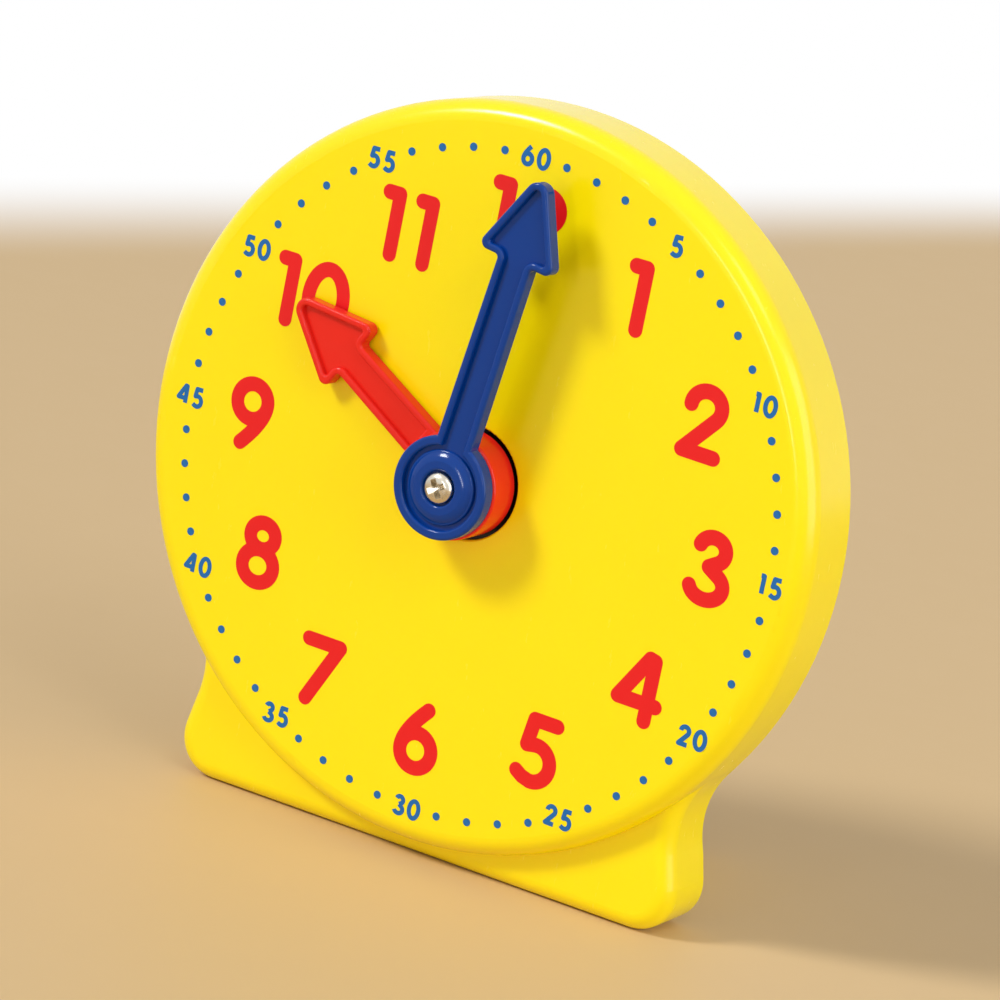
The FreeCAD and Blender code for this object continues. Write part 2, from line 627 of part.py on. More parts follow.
def belt(centres, radius):
    """The outline of a tight belt round equal discs, as a wire at Y = 0."""
    count = len(centres)
    middle = sum(centres, V(0, 0, 0)) * (1.0 / count)
    sides = []
    for here, there in zip(centres, centres[1:] + centres[:1]):
        span = there - here
        side = V(span.z, 0, -span.x).normalize() * radius
        sides.append(side if side.dot(here - middle) > 0 else side * -1.0)
    edges = []
    for index, side in enumerate(sides):
        there = centres[(index + 1) % count]
        following = sides[(index + 1) % count]
        between = (side + following).normalize() * radius
        edges.append(line(centres[index] + side, there + side))
        edges.append(arc(there + side, there + between, there + following))
    return Part.Wire(edges)


def gear_bridge():
    """A three-cornered plate behind the train, with a stepped lug at each post."""
    back = BRIDGE_FRONT + BRIDGE_THICKNESS
    corners = [V(x, 0, z) for x, z in BRIDGE_POSTS]
    bridge = plate(belt(corners, BRIDGE_LUG_RADIUS), BRIDGE_FRONT, back)
    for x, z in BRIDGE_POSTS:
        bridge = bridge.cut(drum(BRIDGE_SCREW["head"] + 0.5, BRIDGE_FRONT + BRIDGE_LUG, back + 1.0, x, z))
        bridge = bridge.cut(drum(BRIDGE_SCREW["shank"] + 0.15, BRIDGE_FRONT - 1.0, back, x, z))
    tail_hole = ARBOR_TAIL_RADIUS + RUNNING_FIT
    bridge = bridge.cut(drum(tail_hole, BRIDGE_FRONT - 1.0, back + 1.0))
    bridge = bridge.cut(drum(PIN_RADIUS, BRIDGE_FRONT - 1.0, back + 1.0, 0.0, TRANSFER_HEIGHT))
    for x, z in BRIDGE_HOLES:
        bridge = bridge.cut(drum(4.5, BRIDGE_FRONT - 1.0, back + 1.0, x, z))
    return bridge


def friction_spring():
    """A wave washer: three waves round the arbor's tail, lofted as a thin ruled band."""
    outer = ARBOR_TAIL_RADIUS + 2.6
    inner = ARBOR_TAIL_RADIUS + 0.3
    sheet = 0.2
    swing = (SPRING_HEIGHT - sheet) / 2.0
    middle = (MINUTE_PINION_BACK + BRIDGE_FRONT - sheet) / 2.0
    count = 12

    def loop(radius):
        points = []
        for index in range(count):
            x, z = polar(radius, 360.0 * index / count)
            wave = math.sin(math.radians(1080.0 * index / count))
            points.append(V(x, middle + swing * 0.96 * wave, z))
        curve = Part.BSplineCurve()
        curve.interpolate(points, PeriodicFlag=True)
        return Part.Wire([curve.toShape()])

    band = Part.makeRuledSurface(loop(outer), loop(inner))
    return band.extrude(V(0, sheet, 0))


def hour_wheel_clip():
    """A push-on spring ring with three cut-outs between its gripping tongues."""
    front = HOUR_WHEEL_BACK
    clip = ring(PIPE_RADIUS + 1.7, PIPE_RADIUS - 0.6, front, front + CLIP)
    for index in range(3):
        x, z = polar(PIPE_RADIUS - 0.3, 120.0 * index + 90.0)
        clip = clip.cut(drum(1.0, front - 1.0, front + CLIP + 1.0, x, z))
    return clip


def hour_thrust_washer():
    return ring(HUB_HOLE_RADIUS + 3.4, HUB_HOLE_RADIUS + 0.4, FRONT_WALL, HOUR_WHEEL_FRONT)


def minute_thrust_washer():
    return ring(PIPE_RADIUS, ARBOR_RADIUS + 0.1, HOUR_WHEEL_BACK + CLIP, MINUTE_PINION_FRONT)


def transfer_washer(front):
    return ring(2.5 * PIN_RADIUS, PIN_RADIUS + 0.1, front, front + WASHER, 0.0, TRANSFER_HEIGHT)


# ---- hands ------------------------------------------------------------------------
def inset_corners(corners, inset):
    """A polygon's corners (x, z), clockwise seen from the front, moved inwards."""
    moved = []
    count = len(corners)
    for index in range(count):
        x0, z0 = corners[index - 1]
        x1, z1 = corners[index]
        x2, z2 = corners[(index + 1) % count]
        in_length = math.hypot(x1 - x0, z1 - z0)
        out_length = math.hypot(x2 - x1, z2 - z1)
        ax, az = (z1 - z0) / in_length, -(x1 - x0) / in_length
        bx, bz = (z2 - z1) / out_length, -(x2 - x1) / out_length
        scale = inset / (1.0 + ax * bx + az * bz)
        moved.append((x1 + (ax + bx) * scale, z1 + (az + bz) * scale))
    return moved


def arrow(size, root, inset, front, back):
    """The hand's blade, pointing up from its axis at the origin: shaft and arrow head.
    The shaft starts at the height root, and all sides can be moved inwards."""
    shaft = size["shaft_half"]
    right = [(size["root_half"], root), (shaft, size["head_back"]), (size["head_half"], size["head_back"])]
    corners = [(-x, z) for x, z in right] + [(0.0, size["tip"])] + list(reversed(right))
    if inset:
        corners = inset_corners(corners, inset)
        corners[0] = (corners[0][0], root)
        corners[-1] = (corners[-1][0], root)
    points = [V(x, 0, z) for x, z in corners]
    blade = plate(Part.makePolygon(points + points[:1]), front, back)

    def upright(test):
        return [edge for edge in blade.Edges
                if edge.BoundBox.YLength > 0.5 * (back - front) and test(edge.CenterOfMass)]

    tip = corners[3]
    barb = corners[2]
    notch = corners[1]
    blade = blade.makeFillet(max(TIP_RADIUS - inset, 0.4), upright(lambda c: abs(c.z - tip[1]) < 1e-6))
    blade = blade.makeFillet(max(BARB_RADIUS - inset, 0.4),
                             upright(lambda c: abs(abs(c.x) - abs(barb[0])) < 1e-6))
    return blade.makeFillet(NOTCH_RADIUS + inset, upright(
        lambda c: abs(abs(c.x) - abs(notch[0])) < 1e-6 and abs(c.z - notch[1]) < 1e-6))


def soften(shape, face, radius):
    """Rounds the edges in the plane of a hand's face."""
    return shape.makeFillet(radius, front_edges(shape, face))


def placed(shape, angle):
    """A hand that was made pointing up at the origin, turned and raised to the axis."""
    shape.rotate(V(0, 0, 0), V(0, 1, 0), angle)
    shape.translate(V(0, 0, AXIS_HEIGHT))
    return shape


def hour_hand():
    """The low blade, the tall hub, its journal in the dial, and the pipe for the wheel."""
    face = HOUR_HAND["face"]
    back = face + BLADE_THICKNESS
    blade = arrow(HOUR_HAND, 0.0, 0.0, face, back)
    blade = blade.cut(arrow(HOUR_HAND, HOUR_HUB_RADIUS + BLADE_RIM, BLADE_RIM, face - 1.0,
                            face + BLADE_RECESS))
    blade = blade.cut(drum(PIPE_RADIUS, face - 1.0, back + 1.0, 0.0, 0.0))
    blade = soften(blade, face, BLADE_EDGE)
    edge = 0.5
    hub = turned([(ARBOR_RADIUS, HOUR_HUB_FACE), (HOUR_HUB_RADIUS - edge, HOUR_HUB_FACE),
                  quarter((HOUR_HUB_RADIUS - edge, HOUR_HUB_FACE + edge), edge, -90.0, 0.0),
                  (HOUR_HUB_RADIUS, HOUR_HUB_JOURNAL_FRONT), (HOUR_HUB_JOURNAL, HOUR_HUB_JOURNAL_FRONT),
                  (HOUR_HUB_JOURNAL, FRONT_WALL), (ARBOR_RADIUS, FRONT_WALL)], 0.0, 0.0)
    cup = ring(HOUR_HUB_RADIUS - HOUR_HUB_WALL, PIPE_RADIUS + 0.4, HOUR_HUB_FACE + HOUR_HUB_WALL,
               FRONT_WALL + 1.0, 0.0, 0.0)
    pipe = drum(PIPE_RADIUS, HOUR_HUB_FACE + HOUR_HUB_WALL, HOUR_WHEEL_FRONT, 0.0, 0.0)
    key = flatted(PIPE_RADIUS, PIPE_FLAT, HOUR_WHEEL_FRONT, HOUR_WHEEL_BACK, 0.0, 0.0)
    stub = ring(PIPE_RADIUS - 0.6, ARBOR_RADIUS, HOUR_WHEEL_BACK, HOUR_WHEEL_BACK + CLIP, 0.0, 0.0)
    hand = blade.fuse(hub).cut(cup).fuse(pipe).fuse(key).fuse(stub.common(
        slab(-PIPE_FLAT, PIPE_FLAT, HOUR_WHEEL_BACK, HOUR_WHEEL_BACK + CLIP, -PIPE_RADIUS, PIPE_RADIUS)))
    hand = hand.cut(drum(MINUTE_BOSS_RADIUS + 0.3, HOUR_HUB_FACE - 1.0, MINUTE_BOSS_BACK + 0.3, 0.0, 0.0))
    hand = hand.cut(drum(ARBOR_RADIUS + RUNNING_FIT, HOUR_HUB_FACE - 1.0, HOUR_WHEEL_BACK + 2.0, 0.0, 0.0))
    return placed(hand, HOUR_ANGLE)


def minute_hand():
    """The high blade and the hub with its rim, groove, raised middle and dish."""
    face = MINUTE_HAND["face"]
    back = face + BLADE_THICKNESS
    floor = face + BLADE_RECESS
    hand = arrow(MINUTE_HAND, 0.0, 0.0, face, back).fuse(drum(MINUTE_HUB_RADIUS, face, back, 0.0, 0.0))
    hand = hand.removeSplitter()
    hollow = arrow(MINUTE_HAND, 0.0, BLADE_RIM, face - 1.0, floor)
    hollow = hollow.fuse(drum(MINUTE_HUB_RIM, face - 1.0, floor, 0.0, 0.0)).removeSplitter()
    hand = soften(hand.cut(hollow), face, BLADE_EDGE)
    edge = 0.4
    lip = 0.5
    brow = MINUTE_HUB_DISC - edge
    middle = ((MINUTE_HUB_CROWN + brow) / 2.0, 0.66 * MINUTE_HUB_DISC_FACE + 0.34 * MINUTE_HUB_DISC_EDGE)
    disc = turned([(0.0, back), (0.0, MINUTE_HUB_DISC_FACE), (MINUTE_HUB_CROWN, MINUTE_HUB_DISC_FACE),
                   (middle, (brow, MINUTE_HUB_DISC_EDGE)),
                   quarter((brow, MINUTE_HUB_DISC_EDGE + edge), edge, -90.0, 0.0),
                   (MINUTE_HUB_DISC, back)], 0.0, 0.0)
    dish = turned([(0.0, DISH_FLOOR), (DISH_FLOOR_RADIUS, DISH_FLOOR),
                   (DISH_FLOOR_RADIUS, MINUTE_HUB_DISC_FACE + lip + 0.1),
                   quarter((DISH_FLOOR_RADIUS + lip, MINUTE_HUB_DISC_FACE + lip), lip, -180.0, -90.0),
                   (DISH_RADIUS, MINUTE_HUB_DISC_FACE - 1.0), (0.0, MINUTE_HUB_DISC_FACE - 1.0)], 0.0, 0.0)
    boss = drum(MINUTE_BOSS_RADIUS, back, MINUTE_BOSS_BACK, 0.0, 0.0)
    hand = hand.fuse(disc).fuse(boss).cut(dish)
    socket_front = MINUTE_BOSS_BACK - 2.6
    hand = hand.cut(flatted(ARBOR_RADIUS - 0.2, ARBOR_FLAT - 0.4, socket_front, MINUTE_BOSS_BACK + 1.0,
                            0.0, 0.0))
    hand = hand.cut(drum(HAND_SCREW["shank"] + 0.15, DISH_FLOOR - 1.0, socket_front + 1.0, 0.0, 0.0))
    return placed(hand.removeSplitter(), MINUTE_ANGLE)


NODES = {
    "front_housing": front_housing,
    "rear_cover": rear_cover,
    "cover_screws": cover_screws,
    "gear_bridge": gear_bridge,
    "bridge_screws": bridge_screws,
    "hour_hand": hour_hand,
    "hour_wheel": hour_wheel,
    "hour_wheel_clip": hour_wheel_clip,
    "hour_thrust_washer": hour_thrust_washer,
    "minute_hand": minute_hand,
    "minute_arbor": minute_arbor,
    "minute_pinion": minute_pinion,
    "minute_thrust_washer": minute_thrust_washer,
    "hand_screw": hand_screw,
    "friction_spring": friction_spring,
    "transfer_wheel": transfer_wheel,
    "transfer_pinion": transfer_pinion,
    "transfer_pin": transfer_pin,
    "transfer_washer_front": lambda: transfer_washer(PIN_BOSS_BACK),
    "transfer_washer_rear": lambda: transfer_washer(TRANSFER_HUB_BACK),
}


def main():
    os.makedirs("parts", exist_ok=True)
    for name, build in NODES.items():
        shape = build()
        shape.translate(V(0, -FOOT_MIDDLE, 0))
        shape.exportStep(os.path.join("parts", name + ".step"))
        print(name, "valid" if shape.isValid() else "NOT VALID", len(shape.Solids), "solids",
              round(shape.Volume / 1000.0, 3), "cm3")


main()
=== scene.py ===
import json
import math

import bmesh
import bpy
from bpy.props import FloatProperty, FloatVectorProperty, IntProperty, PointerProperty
from bpy.types import Operator, Panel, PropertyGroup
from mathutils import Matrix, Quaternion, Vector
from mathutils.geometry import delaunay_2d_cdt


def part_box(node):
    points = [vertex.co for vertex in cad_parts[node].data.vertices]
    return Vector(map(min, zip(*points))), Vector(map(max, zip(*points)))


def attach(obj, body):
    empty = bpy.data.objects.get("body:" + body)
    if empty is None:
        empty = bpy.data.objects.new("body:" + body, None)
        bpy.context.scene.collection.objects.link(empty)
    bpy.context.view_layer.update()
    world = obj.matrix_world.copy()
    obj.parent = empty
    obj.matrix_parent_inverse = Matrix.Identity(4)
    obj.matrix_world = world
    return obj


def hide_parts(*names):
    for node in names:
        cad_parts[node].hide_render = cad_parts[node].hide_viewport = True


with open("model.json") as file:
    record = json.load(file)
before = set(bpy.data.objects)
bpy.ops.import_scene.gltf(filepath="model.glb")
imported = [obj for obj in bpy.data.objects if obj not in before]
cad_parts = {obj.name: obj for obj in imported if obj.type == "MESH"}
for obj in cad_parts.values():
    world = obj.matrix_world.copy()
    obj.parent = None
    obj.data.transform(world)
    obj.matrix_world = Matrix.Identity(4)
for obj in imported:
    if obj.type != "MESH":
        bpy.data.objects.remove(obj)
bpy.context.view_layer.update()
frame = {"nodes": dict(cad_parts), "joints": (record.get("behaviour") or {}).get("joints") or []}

bl_info = {
    "name": "Geared Teaching Clock",
    "version": (1, 0, 0),
    "blender": (4, 5, 0),
    "location": "View3D > Sidebar > Clock",
    "description": "Dresses the packed geared teaching clock: dial print, plastics, screws and stage",
    "category": "Object",
}

MM = 0.001
WHITE = (1.0, 1.0, 1.0, 1.0)

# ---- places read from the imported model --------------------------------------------
AXIS_Z = {joint["name"]: joint["pos_m"][2] for joint in frame["joints"]}["minute_turn"]
DIAL_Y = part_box("front_housing")[0].y
DIAL_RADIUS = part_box("front_housing")[1].z - AXIS_Z
STAND_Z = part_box("front_housing")[0].z
AXIS = Vector((0.0, DIAL_Y, AXIS_Z))


def linear(red, green, blue):
    """A colour that is given as it looks on a screen, 0 to 255, as the shader takes it."""
    def channel(value):
        level = value / 255.0
        return level / 12.92 if level <= 0.04045 else ((level + 0.055) / 1.055) ** 2.4

    return channel(red), channel(green), channel(blue)


# ---- settings ---------------------------------------------------------------------
class DialPrintSettings(PropertyGroup):
    """Where the dial's print sits on the moulding, and its sizes."""
    turn: FloatProperty(
        name="Turn", description="How far the print is turned clockwise on the moulding",
        default=math.radians(0.82), subtype="ANGLE")
    shift_x: FloatProperty(
        name="Shift right", description="The print's centre from the axis, to the right",
        default=0.94 * MM, unit="LENGTH", precision=5)
    shift_z: FloatProperty(
        name="Shift up", description="The print's centre from the axis, upwards",
        default=-0.76 * MM, unit="LENGTH", precision=5)
    ink: FloatProperty(
        name="Ink thickness", description="How far the ink stands proud of the dial",
        default=0.04 * MM, unit="LENGTH", precision=6)
    sunk: FloatProperty(
        name="Ink sunk", description="How far the ink goes into the dial",
        default=0.03 * MM, unit="LENGTH", precision=6)
    hour_pen: FloatProperty(
        name="Hour stroke", description="Half the width of the hour numerals' strokes",
        default=1.28 * MM, unit="LENGTH", precision=5)
    minute_ring: FloatProperty(
        name="Minute ring", description="Radius of the circle of dots and minute numerals",
        default=0.8913 * DIAL_RADIUS, unit="LENGTH", precision=5)
    minute_scale: FloatProperty(
        name="Minute numeral scale", description="Height of the minute numerals over the hour numerals'",
        default=0.285)
    minute_pen: FloatProperty(
        name="Minute stroke", description="Half the width of the minute numerals' strokes",
        default=0.40 * MM, unit="LENGTH", precision=5)
    dot_radius: FloatProperty(
        name="Dot radius", description="Radius of one minute dot",
        default=0.7 * MM, unit="LENGTH", precision=5)
    dots: IntProperty(name="Minutes", description="Minutes round the dial", default=60)
    dots_skipped: IntProperty(
        name="Numeral every", description="Every so many minutes a numeral takes the dot's place",
        default=5)


class FinishSettings(PropertyGroup):
    """Colours of the plastics, inks and metals."""
    yellow: FloatVectorProperty(
        name="Housing yellow", description="Moulded colour of the housing", subtype="COLOR",
        default=linear(255, 231, 2))
    red: FloatVectorProperty(
        name="Hour red", description="Moulded colour of the hour hand", subtype="COLOR",
        default=linear(230, 38, 26))
    blue: FloatVectorProperty(
        name="Minute blue", description="Moulded colour of the minute hand", subtype="COLOR",
        default=linear(0, 58, 142))
    natural: FloatVectorProperty(
        name="Gear white", description="Natural colour of the gears' plastic", subtype="COLOR",
        default=linear(232, 229, 218))
    ink_red: FloatVectorProperty(
        name="Red ink", description="Colour of the hour numerals", subtype="COLOR",
        default=linear(226, 12, 20))
    ink_blue: FloatVectorProperty(
        name="Blue ink", description="Colour of the minute numerals and dots", subtype="COLOR",
        default=linear(6, 100, 172))
    nickel: FloatVectorProperty(
        name="Nickel", description="Colour of the plated screws", subtype="COLOR",
        default=linear(214, 206, 190))
    steel: FloatVectorProperty(
        name="Steel", description="Colour of the pin, clip and spring", subtype="COLOR",
        default=linear(196, 196, 194))


class StageSettings(PropertyGroup):
    """Camera, lamps and floor."""
    azimuth: FloatProperty(
        name="Azimuth", description="How far round to the right the camera stands",
        default=math.radians(27.47), subtype="ANGLE")
    elevation: FloatProperty(
        name="Elevation", description="How far above the dial's axis the camera looks down from",
        default=math.radians(13.17), subtype="ANGLE")
    roll: FloatProperty(
        name="Roll", description="How far the camera is tipped about its own line of sight",
        default=math.radians(10.66), subtype="ANGLE")
    distance: FloatProperty(
        name="Distance", description="From the camera to the dial", default=744.2 * MM, unit="LENGTH")
    aim: FloatVectorProperty(
        name="Aim", description="Where the camera looks, from the axis on the dial's face",
        default=(6.85 * MM, 0.0, -1.2 * MM), unit="LENGTH", precision=5)
    lens: FloatProperty(name="Lens", description="Focal length in millimetres", default=161.86)
    floor: FloatVectorProperty(
        name="Floor", description="Colour of the floor", subtype="COLOR", default=linear(208, 178, 131))
    floor_size: FloatProperty(
        name="Floor size", description="Half the width of the floor", default=6.0, unit="LENGTH")
    edge_turn: FloatProperty(
        name="Edge turn", description="Which way the floor's far edge lies, from straight left",
        default=math.radians(13.8), subtype="ANGLE")
    edge_place: FloatProperty(
        name="Edge place", description="How far off the floor's edge lies", default=0.44, unit="LENGTH")
    edge_softness: FloatProperty(
        name="Edge softness", description="Half the width over which the floor turns white",
        default=0.05, unit="LENGTH")
    fade_start: FloatProperty(
        name="Fade start", description="Where the floor starts to turn white on every side",
        default=0.9, unit="LENGTH")
    fade_end: FloatProperty(
        name="Fade end", description="Where the floor is white on every side", default=1.8, unit="LENGTH")
    key: FloatProperty(
        name="Key lamp", description="Strength of the light from the upper left", default=1.93)
    key_angle: FloatProperty(
        name="Key angle", description="How wide the key lamp looks, which softens its shadows",
        default=math.radians(14.0), subtype="ANGLE")
    side: FloatProperty(
        name="Side lamp", description="Power of the large lamp at the right", default=15.0, unit="POWER")
    window: FloatProperty(
        name="Window lamp", description="Power of the small lamp that gives the rounded edges their shine",
        default=0.8, unit="POWER")
    glint: FloatProperty(
        name="Glint lamp", description="Power of the strip lamp that draws lines of light on the hands",
        default=1.3, unit="POWER")
    ambient: FloatProperty(name="Ambient", description="Strength of the light all round", default=0.37)


# ---- node trees -------------------------------------------------------------------
class Value:
    """An output socket of a node.  Arithmetic on values adds Math nodes."""

    def __init__(self, graph, socket):
        self.graph = graph
        self.socket = socket

    def maths(self, operation, first, second):
        return self.graph.node("ShaderNodeMath", {"operation": operation}, (first, second))["Value"]

    def __add__(self, other):
        return self.maths("ADD", self, other)

    __radd__ = __add__

    def __sub__(self, other):
        return self.maths("SUBTRACT", self, other)

    def __rsub__(self, other):
        return self.maths("SUBTRACT", other, self)

    def __mul__(self, other):
        return self.maths("MULTIPLY", self, other)

    __rmul__ = __mul__

    def larger(self, other):
        return self.maths("MAXIMUM", self, other)


class Graph:
    """A node tree and the one way in which nodes are added to it."""

    def __init__(self, tree):
        self.tree = tree

    def node(self, kind, settings=None, order=(), **inputs):
        """Adds a node and returns its outputs by name.  The settings come first, then the
        inputs: in the order of its sockets, or by name with _ for a blank."""
        node = self.tree.nodes.new(kind)
        for name, setting in (settings or {}).items():
            setattr(node, name, setting)
        sockets = [socket for socket in node.inputs if socket.enabled]
        for socket, value in zip(sockets, order):
            self.put(socket, value)
        for name, value in inputs.items():
            self.put(node.inputs[name.replace("_", " ")], value)
        return {output.name: Value(self, output) for output in node.outputs if output.enabled}

    def put(self, socket, value):
        """Links a Value to a socket, or sets the socket to anything else."""
        if isinstance(value, Value):
            self.tree.links.new(value.socket, socket)
        else:
            socket.default_value = value

    def seen_rays(self):
        """1 for the rays that show the surroundings: the camera's, and mirrored and refracted ones."""
        path = self.node("ShaderNodeLightPath")
        return path["Is Camera Ray"].larger(path["Is Glossy Ray"]).larger(path["Is Transmission Ray"])


class Finish(Graph):
    """A material under construction.  Its patterns are laid out in metres, on the piece itself."""

    def __init__(self, name):
        self.material = bpy.data.materials.new(name)
        self.material.use_nodes = True
        super().__init__(self.material.node_tree)
        self.shader = self.tree.nodes["Principled BSDF"]
        self.place = self.node("ShaderNodeTexCoord")["Object"]

    def noise(self, size, detail=2.0, stretch=(1.0, 1.0, 1.0), roughness=0.5):
        """Noise between 0 and 1 whose lumps are about as large as size."""
        moved = self.node("ShaderNodeMapping", Vector=self.place, Scale=stretch)["Vector"]
        return self.node("ShaderNodeTexNoise", Vector=moved, Scale=1.0 / size, Detail=detail,
                         Roughness=roughness)["Fac"]

    def step(self, value, low, high):
        """0 below low, 1 above high and smooth between them."""
        return self.node("ShaderNodeMapRange", {"interpolation_type": "SMOOTHSTEP"}, Value=value,
                         From_Min=low, From_Max=high)["Result"]

    def mixed(self, factor, first, second):
        """A colour between two colours."""
        colours = [colour if isinstance(colour, Value) else (*colour, 1.0) for colour in (first, second)]
        return self.node("ShaderNodeMix", {"data_type": "RGBA"}, (factor, *colours))["Result"]

    def bump(self, height, distance, strength):
        return self.node("ShaderNodeBump", Height=height, Distance=distance, Strength=strength)["Normal"]

    def set(self, **sockets):
        """Fills the shader's sockets, by name with _ for a blank, and returns the material."""
        for name, value in sockets.items():
            self.put(self.shader.inputs[name.replace("_", " ")], value)
        return self.material


# ---- finishes ---------------------------------------------------------------------
# The shader's specular level: on the housing and the inks, and on the hands.
SHINE = 0.4
HAND_SHINE = 0.28
PLASTIC_IOR = 1.49
GEAR_PLASTIC_IOR = 1.48
# How far light goes into the plastics, and the shares of that for red, green and blue.
SCATTER_DEPTH = 1.6 * MM
SCATTER_SHARES = (1.0, 0.55, 0.12)
GEAR_SCATTER_DEPTH = 1.0 * MM
# Painted shade in the gap round the hour hand's hub: its colour, the depth within which it starts, and the
# depths between which it ends.
PAINTED_GAP_SHADE = linear(14, 8, 6)
PAINTED_GAP_SHADE_START = 0.2 * MM
PAINTED_GAP_SHADE_END = (3.0 * MM, 4.0 * MM)


def shade_of(colour, factor):
    return tuple(factor * channel for channel in colour)


def moulded_plastic(name, colour, roughness, scatter, clouding, shine=SHINE, painted_gap_shade_from=None):
    """Glossy injection-moulded plastic: faint flow clouds in the colour, a soft orange peel,
    and a few dull scuffs from handling.  Behind the given depth along Y, a band is painted dark: painted
    shade in the gap round the hub."""
    finish = Finish(name)
    clouds = finish.noise(22.0 * MM, detail=3.0, stretch=(1.0, 1.0, 0.6))
    rubbing = finish.noise(1.6 * MM, detail=4.0, stretch=(1.0, 1.0, 0.25), roughness=0.7)
    scuffs = finish.step(rubbing, low=0.62, high=0.74)
    smudges = finish.step(finish.noise(9.0 * MM, detail=3.0), low=0.45, high=0.75)
    peel = finish.noise(2.4 * MM)
    grain = finish.noise(0.22 * MM)
    surface = finish.mixed(clouds * clouding, colour, shade_of(colour, 0.86))
    # Painted shade: a near-black band just behind the dial's face, standing in for the shade in the gap
    # round the hub.
    if painted_gap_shade_from is not None:
        depth = finish.node("ShaderNodeSeparateXYZ", Vector=finish.place)["Y"] - painted_gap_shade_from
        painted_gap_shade = finish.step(depth, 0.0, PAINTED_GAP_SHADE_START) - finish.step(depth, *PAINTED_GAP_SHADE_END)
        surface = finish.mixed(painted_gap_shade, surface, PAINTED_GAP_SHADE)
    return finish.set(
        Base_Color=surface, Roughness=roughness + 0.05 * smudges + 0.13 * scuffs, IOR=PLASTIC_IOR,
        Specular_IOR_Level=shine, Subsurface_Weight=scatter, Subsurface_Scale=SCATTER_DEPTH,
        Subsurface_Radius=SCATTER_SHARES,
        Normal=finish.bump(peel + grain * 0.04, distance=0.05 * MM, strength=0.35))


def printed_ink(name, colour):
    """A pad-printed layer: even colour with faint thin spots and a slightly duller gloss."""
    finish = Finish(name)
    thin = finish.step(finish.noise(0.5 * MM, detail=3.0), low=0.60, high=0.85)
    wear = finish.noise(3.0 * MM)
    return finish.set(
        Base_Color=finish.mixed(thin * 0.25, colour, shade_of(colour, 1.25)),
        Roughness=0.3 + 0.12 * wear, IOR=PLASTIC_IOR, Specular_IOR_Level=SHINE,
        Normal=finish.bump(finish.noise(0.3 * MM), distance=0.01 * MM, strength=0.3))


def blue_ink(context):
    """The ink that the minute numerals and the dots share."""
    name = "blue_ink"
    return bpy.data.materials.get(name) or printed_ink(name, context.scene.clock_finish.ink_blue)


def plated_metal(name, colour):
    """Bright nickel plate with fine tumbling scratches and darker, duller patches."""
    finish = Finish(name)
    scratches = finish.noise(0.12 * MM, detail=3.0, stretch=(1.0, 1.0, 0.15))
    patches = finish.step(finish.noise(1.1 * MM, detail=3.0), low=0.4, high=0.75)
    return finish.set(
        Base_Color=finish.mixed(patches * 0.5, colour, shade_of(colour, 0.72)), Metallic=1.0,
        Roughness=0.16 + 0.12 * patches + 0.08 * scratches,
        Normal=finish.bump(scratches, distance=0.01 * MM, strength=0.4))


def ground_steel(name, colour):
    """Steel with fine grinding lines."""
    finish = Finish(name)
    lines = finish.noise(0.08 * MM, stretch=(1.0, 0.08, 1.0))
    return finish.set(
        Base_Color=finish.mixed(lines * 0.6, colour, shade_of(colour, 0.7)), Metallic=1.0,
        Roughness=0.24 + 0.2 * lines, Normal=finish.bump(lines, distance=0.01 * MM, strength=0.5))


def natural_plastic(name, colour):
    """Unpigmented gear plastic: waxy, faintly cloudy and matt."""
    finish = Finish(name)
    clouds = finish.noise(6.0 * MM, detail=3.0)
    grain = finish.noise(0.35 * MM)
    return finish.set(
        Base_Color=finish.mixed(clouds * 0.5, colour, shade_of(colour, 0.9)),
        Roughness=0.42 + 0.12 * clouds, IOR=GEAR_PLASTIC_IOR, Subsurface_Weight=0.1,
        Subsurface_Scale=GEAR_SCATTER_DEPTH,
        Normal=finish.bump(grain, distance=0.02 * MM, strength=0.3))


def plain_floor(name, settings):
    """A plain pale floor that turns white at its far edge and in the distance."""
    finish = Finish(name)
    speckle = finish.noise(14.0 * MM, detail=3.0)
    finish.set(Base_Color=finish.mixed(speckle * 0.25, settings.floor, shade_of(settings.floor, 0.965)),
               Roughness=0.6 + 0.05 * speckle)
    place = finish.node("ShaderNodeSeparateXYZ", Vector=finish.place)
    across = place["Y"] * math.sin(settings.edge_turn) - place["X"] * math.cos(settings.edge_turn)
    beyond = finish.step(across, settings.edge_place - settings.edge_softness,
                         settings.edge_place + settings.edge_softness)
    distance = finish.node("ShaderNodeVectorMath", {"operation": "LENGTH"}, Vector=finish.place)["Value"]
    far = beyond.larger(finish.step(distance, settings.fade_start, settings.fade_end))
    own = Value(finish, finish.shader.outputs["BSDF"])
    white = finish.node("ShaderNodeEmission", Color=WHITE, Strength=1.0)["Emission"]
    blend = finish.node("ShaderNodeMixShader", order=(far * finish.seen_rays(), own, white))["Shader"]
    finish.put(finish.tree.nodes["Material Output"].inputs["Surface"], blend)
    return finish.material


# ---- making and dressing pieces ---------------------------------------------------
def new_object(name, data):
    """Makes an object in the scene."""
    made = bpy.data.objects.new(name, data)
    bpy.context.scene.collection.objects.link(made)
    return made


def mesh_of(name, form):
    """Turns a bmesh into a mesh, and frees it."""
    mesh = bpy.data.meshes.new(name)
    form.to_mesh(mesh)
    form.free()
    return mesh


def evaluated_mesh(made):
    """The mesh that an object's modifiers give.  The modifiers are removed."""
    graph = bpy.context.evaluated_depsgraph_get()
    mesh = bpy.data.meshes.new_from_object(made.evaluated_get(graph))
    made.modifiers.clear()
    return mesh


def finished(name, mesh, material, body):
    """Makes a piece from a mesh that is already in its place."""
    mesh.materials.clear()
    mesh.materials.append(material)
    piece = new_object(name, mesh)
    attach(piece, body)
    return piece


def dress(nodes, material):
    """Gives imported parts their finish."""
    for name in nodes:
        node = frame["nodes"][name]
        node.data.materials.clear()
        node.data.materials.append(material)


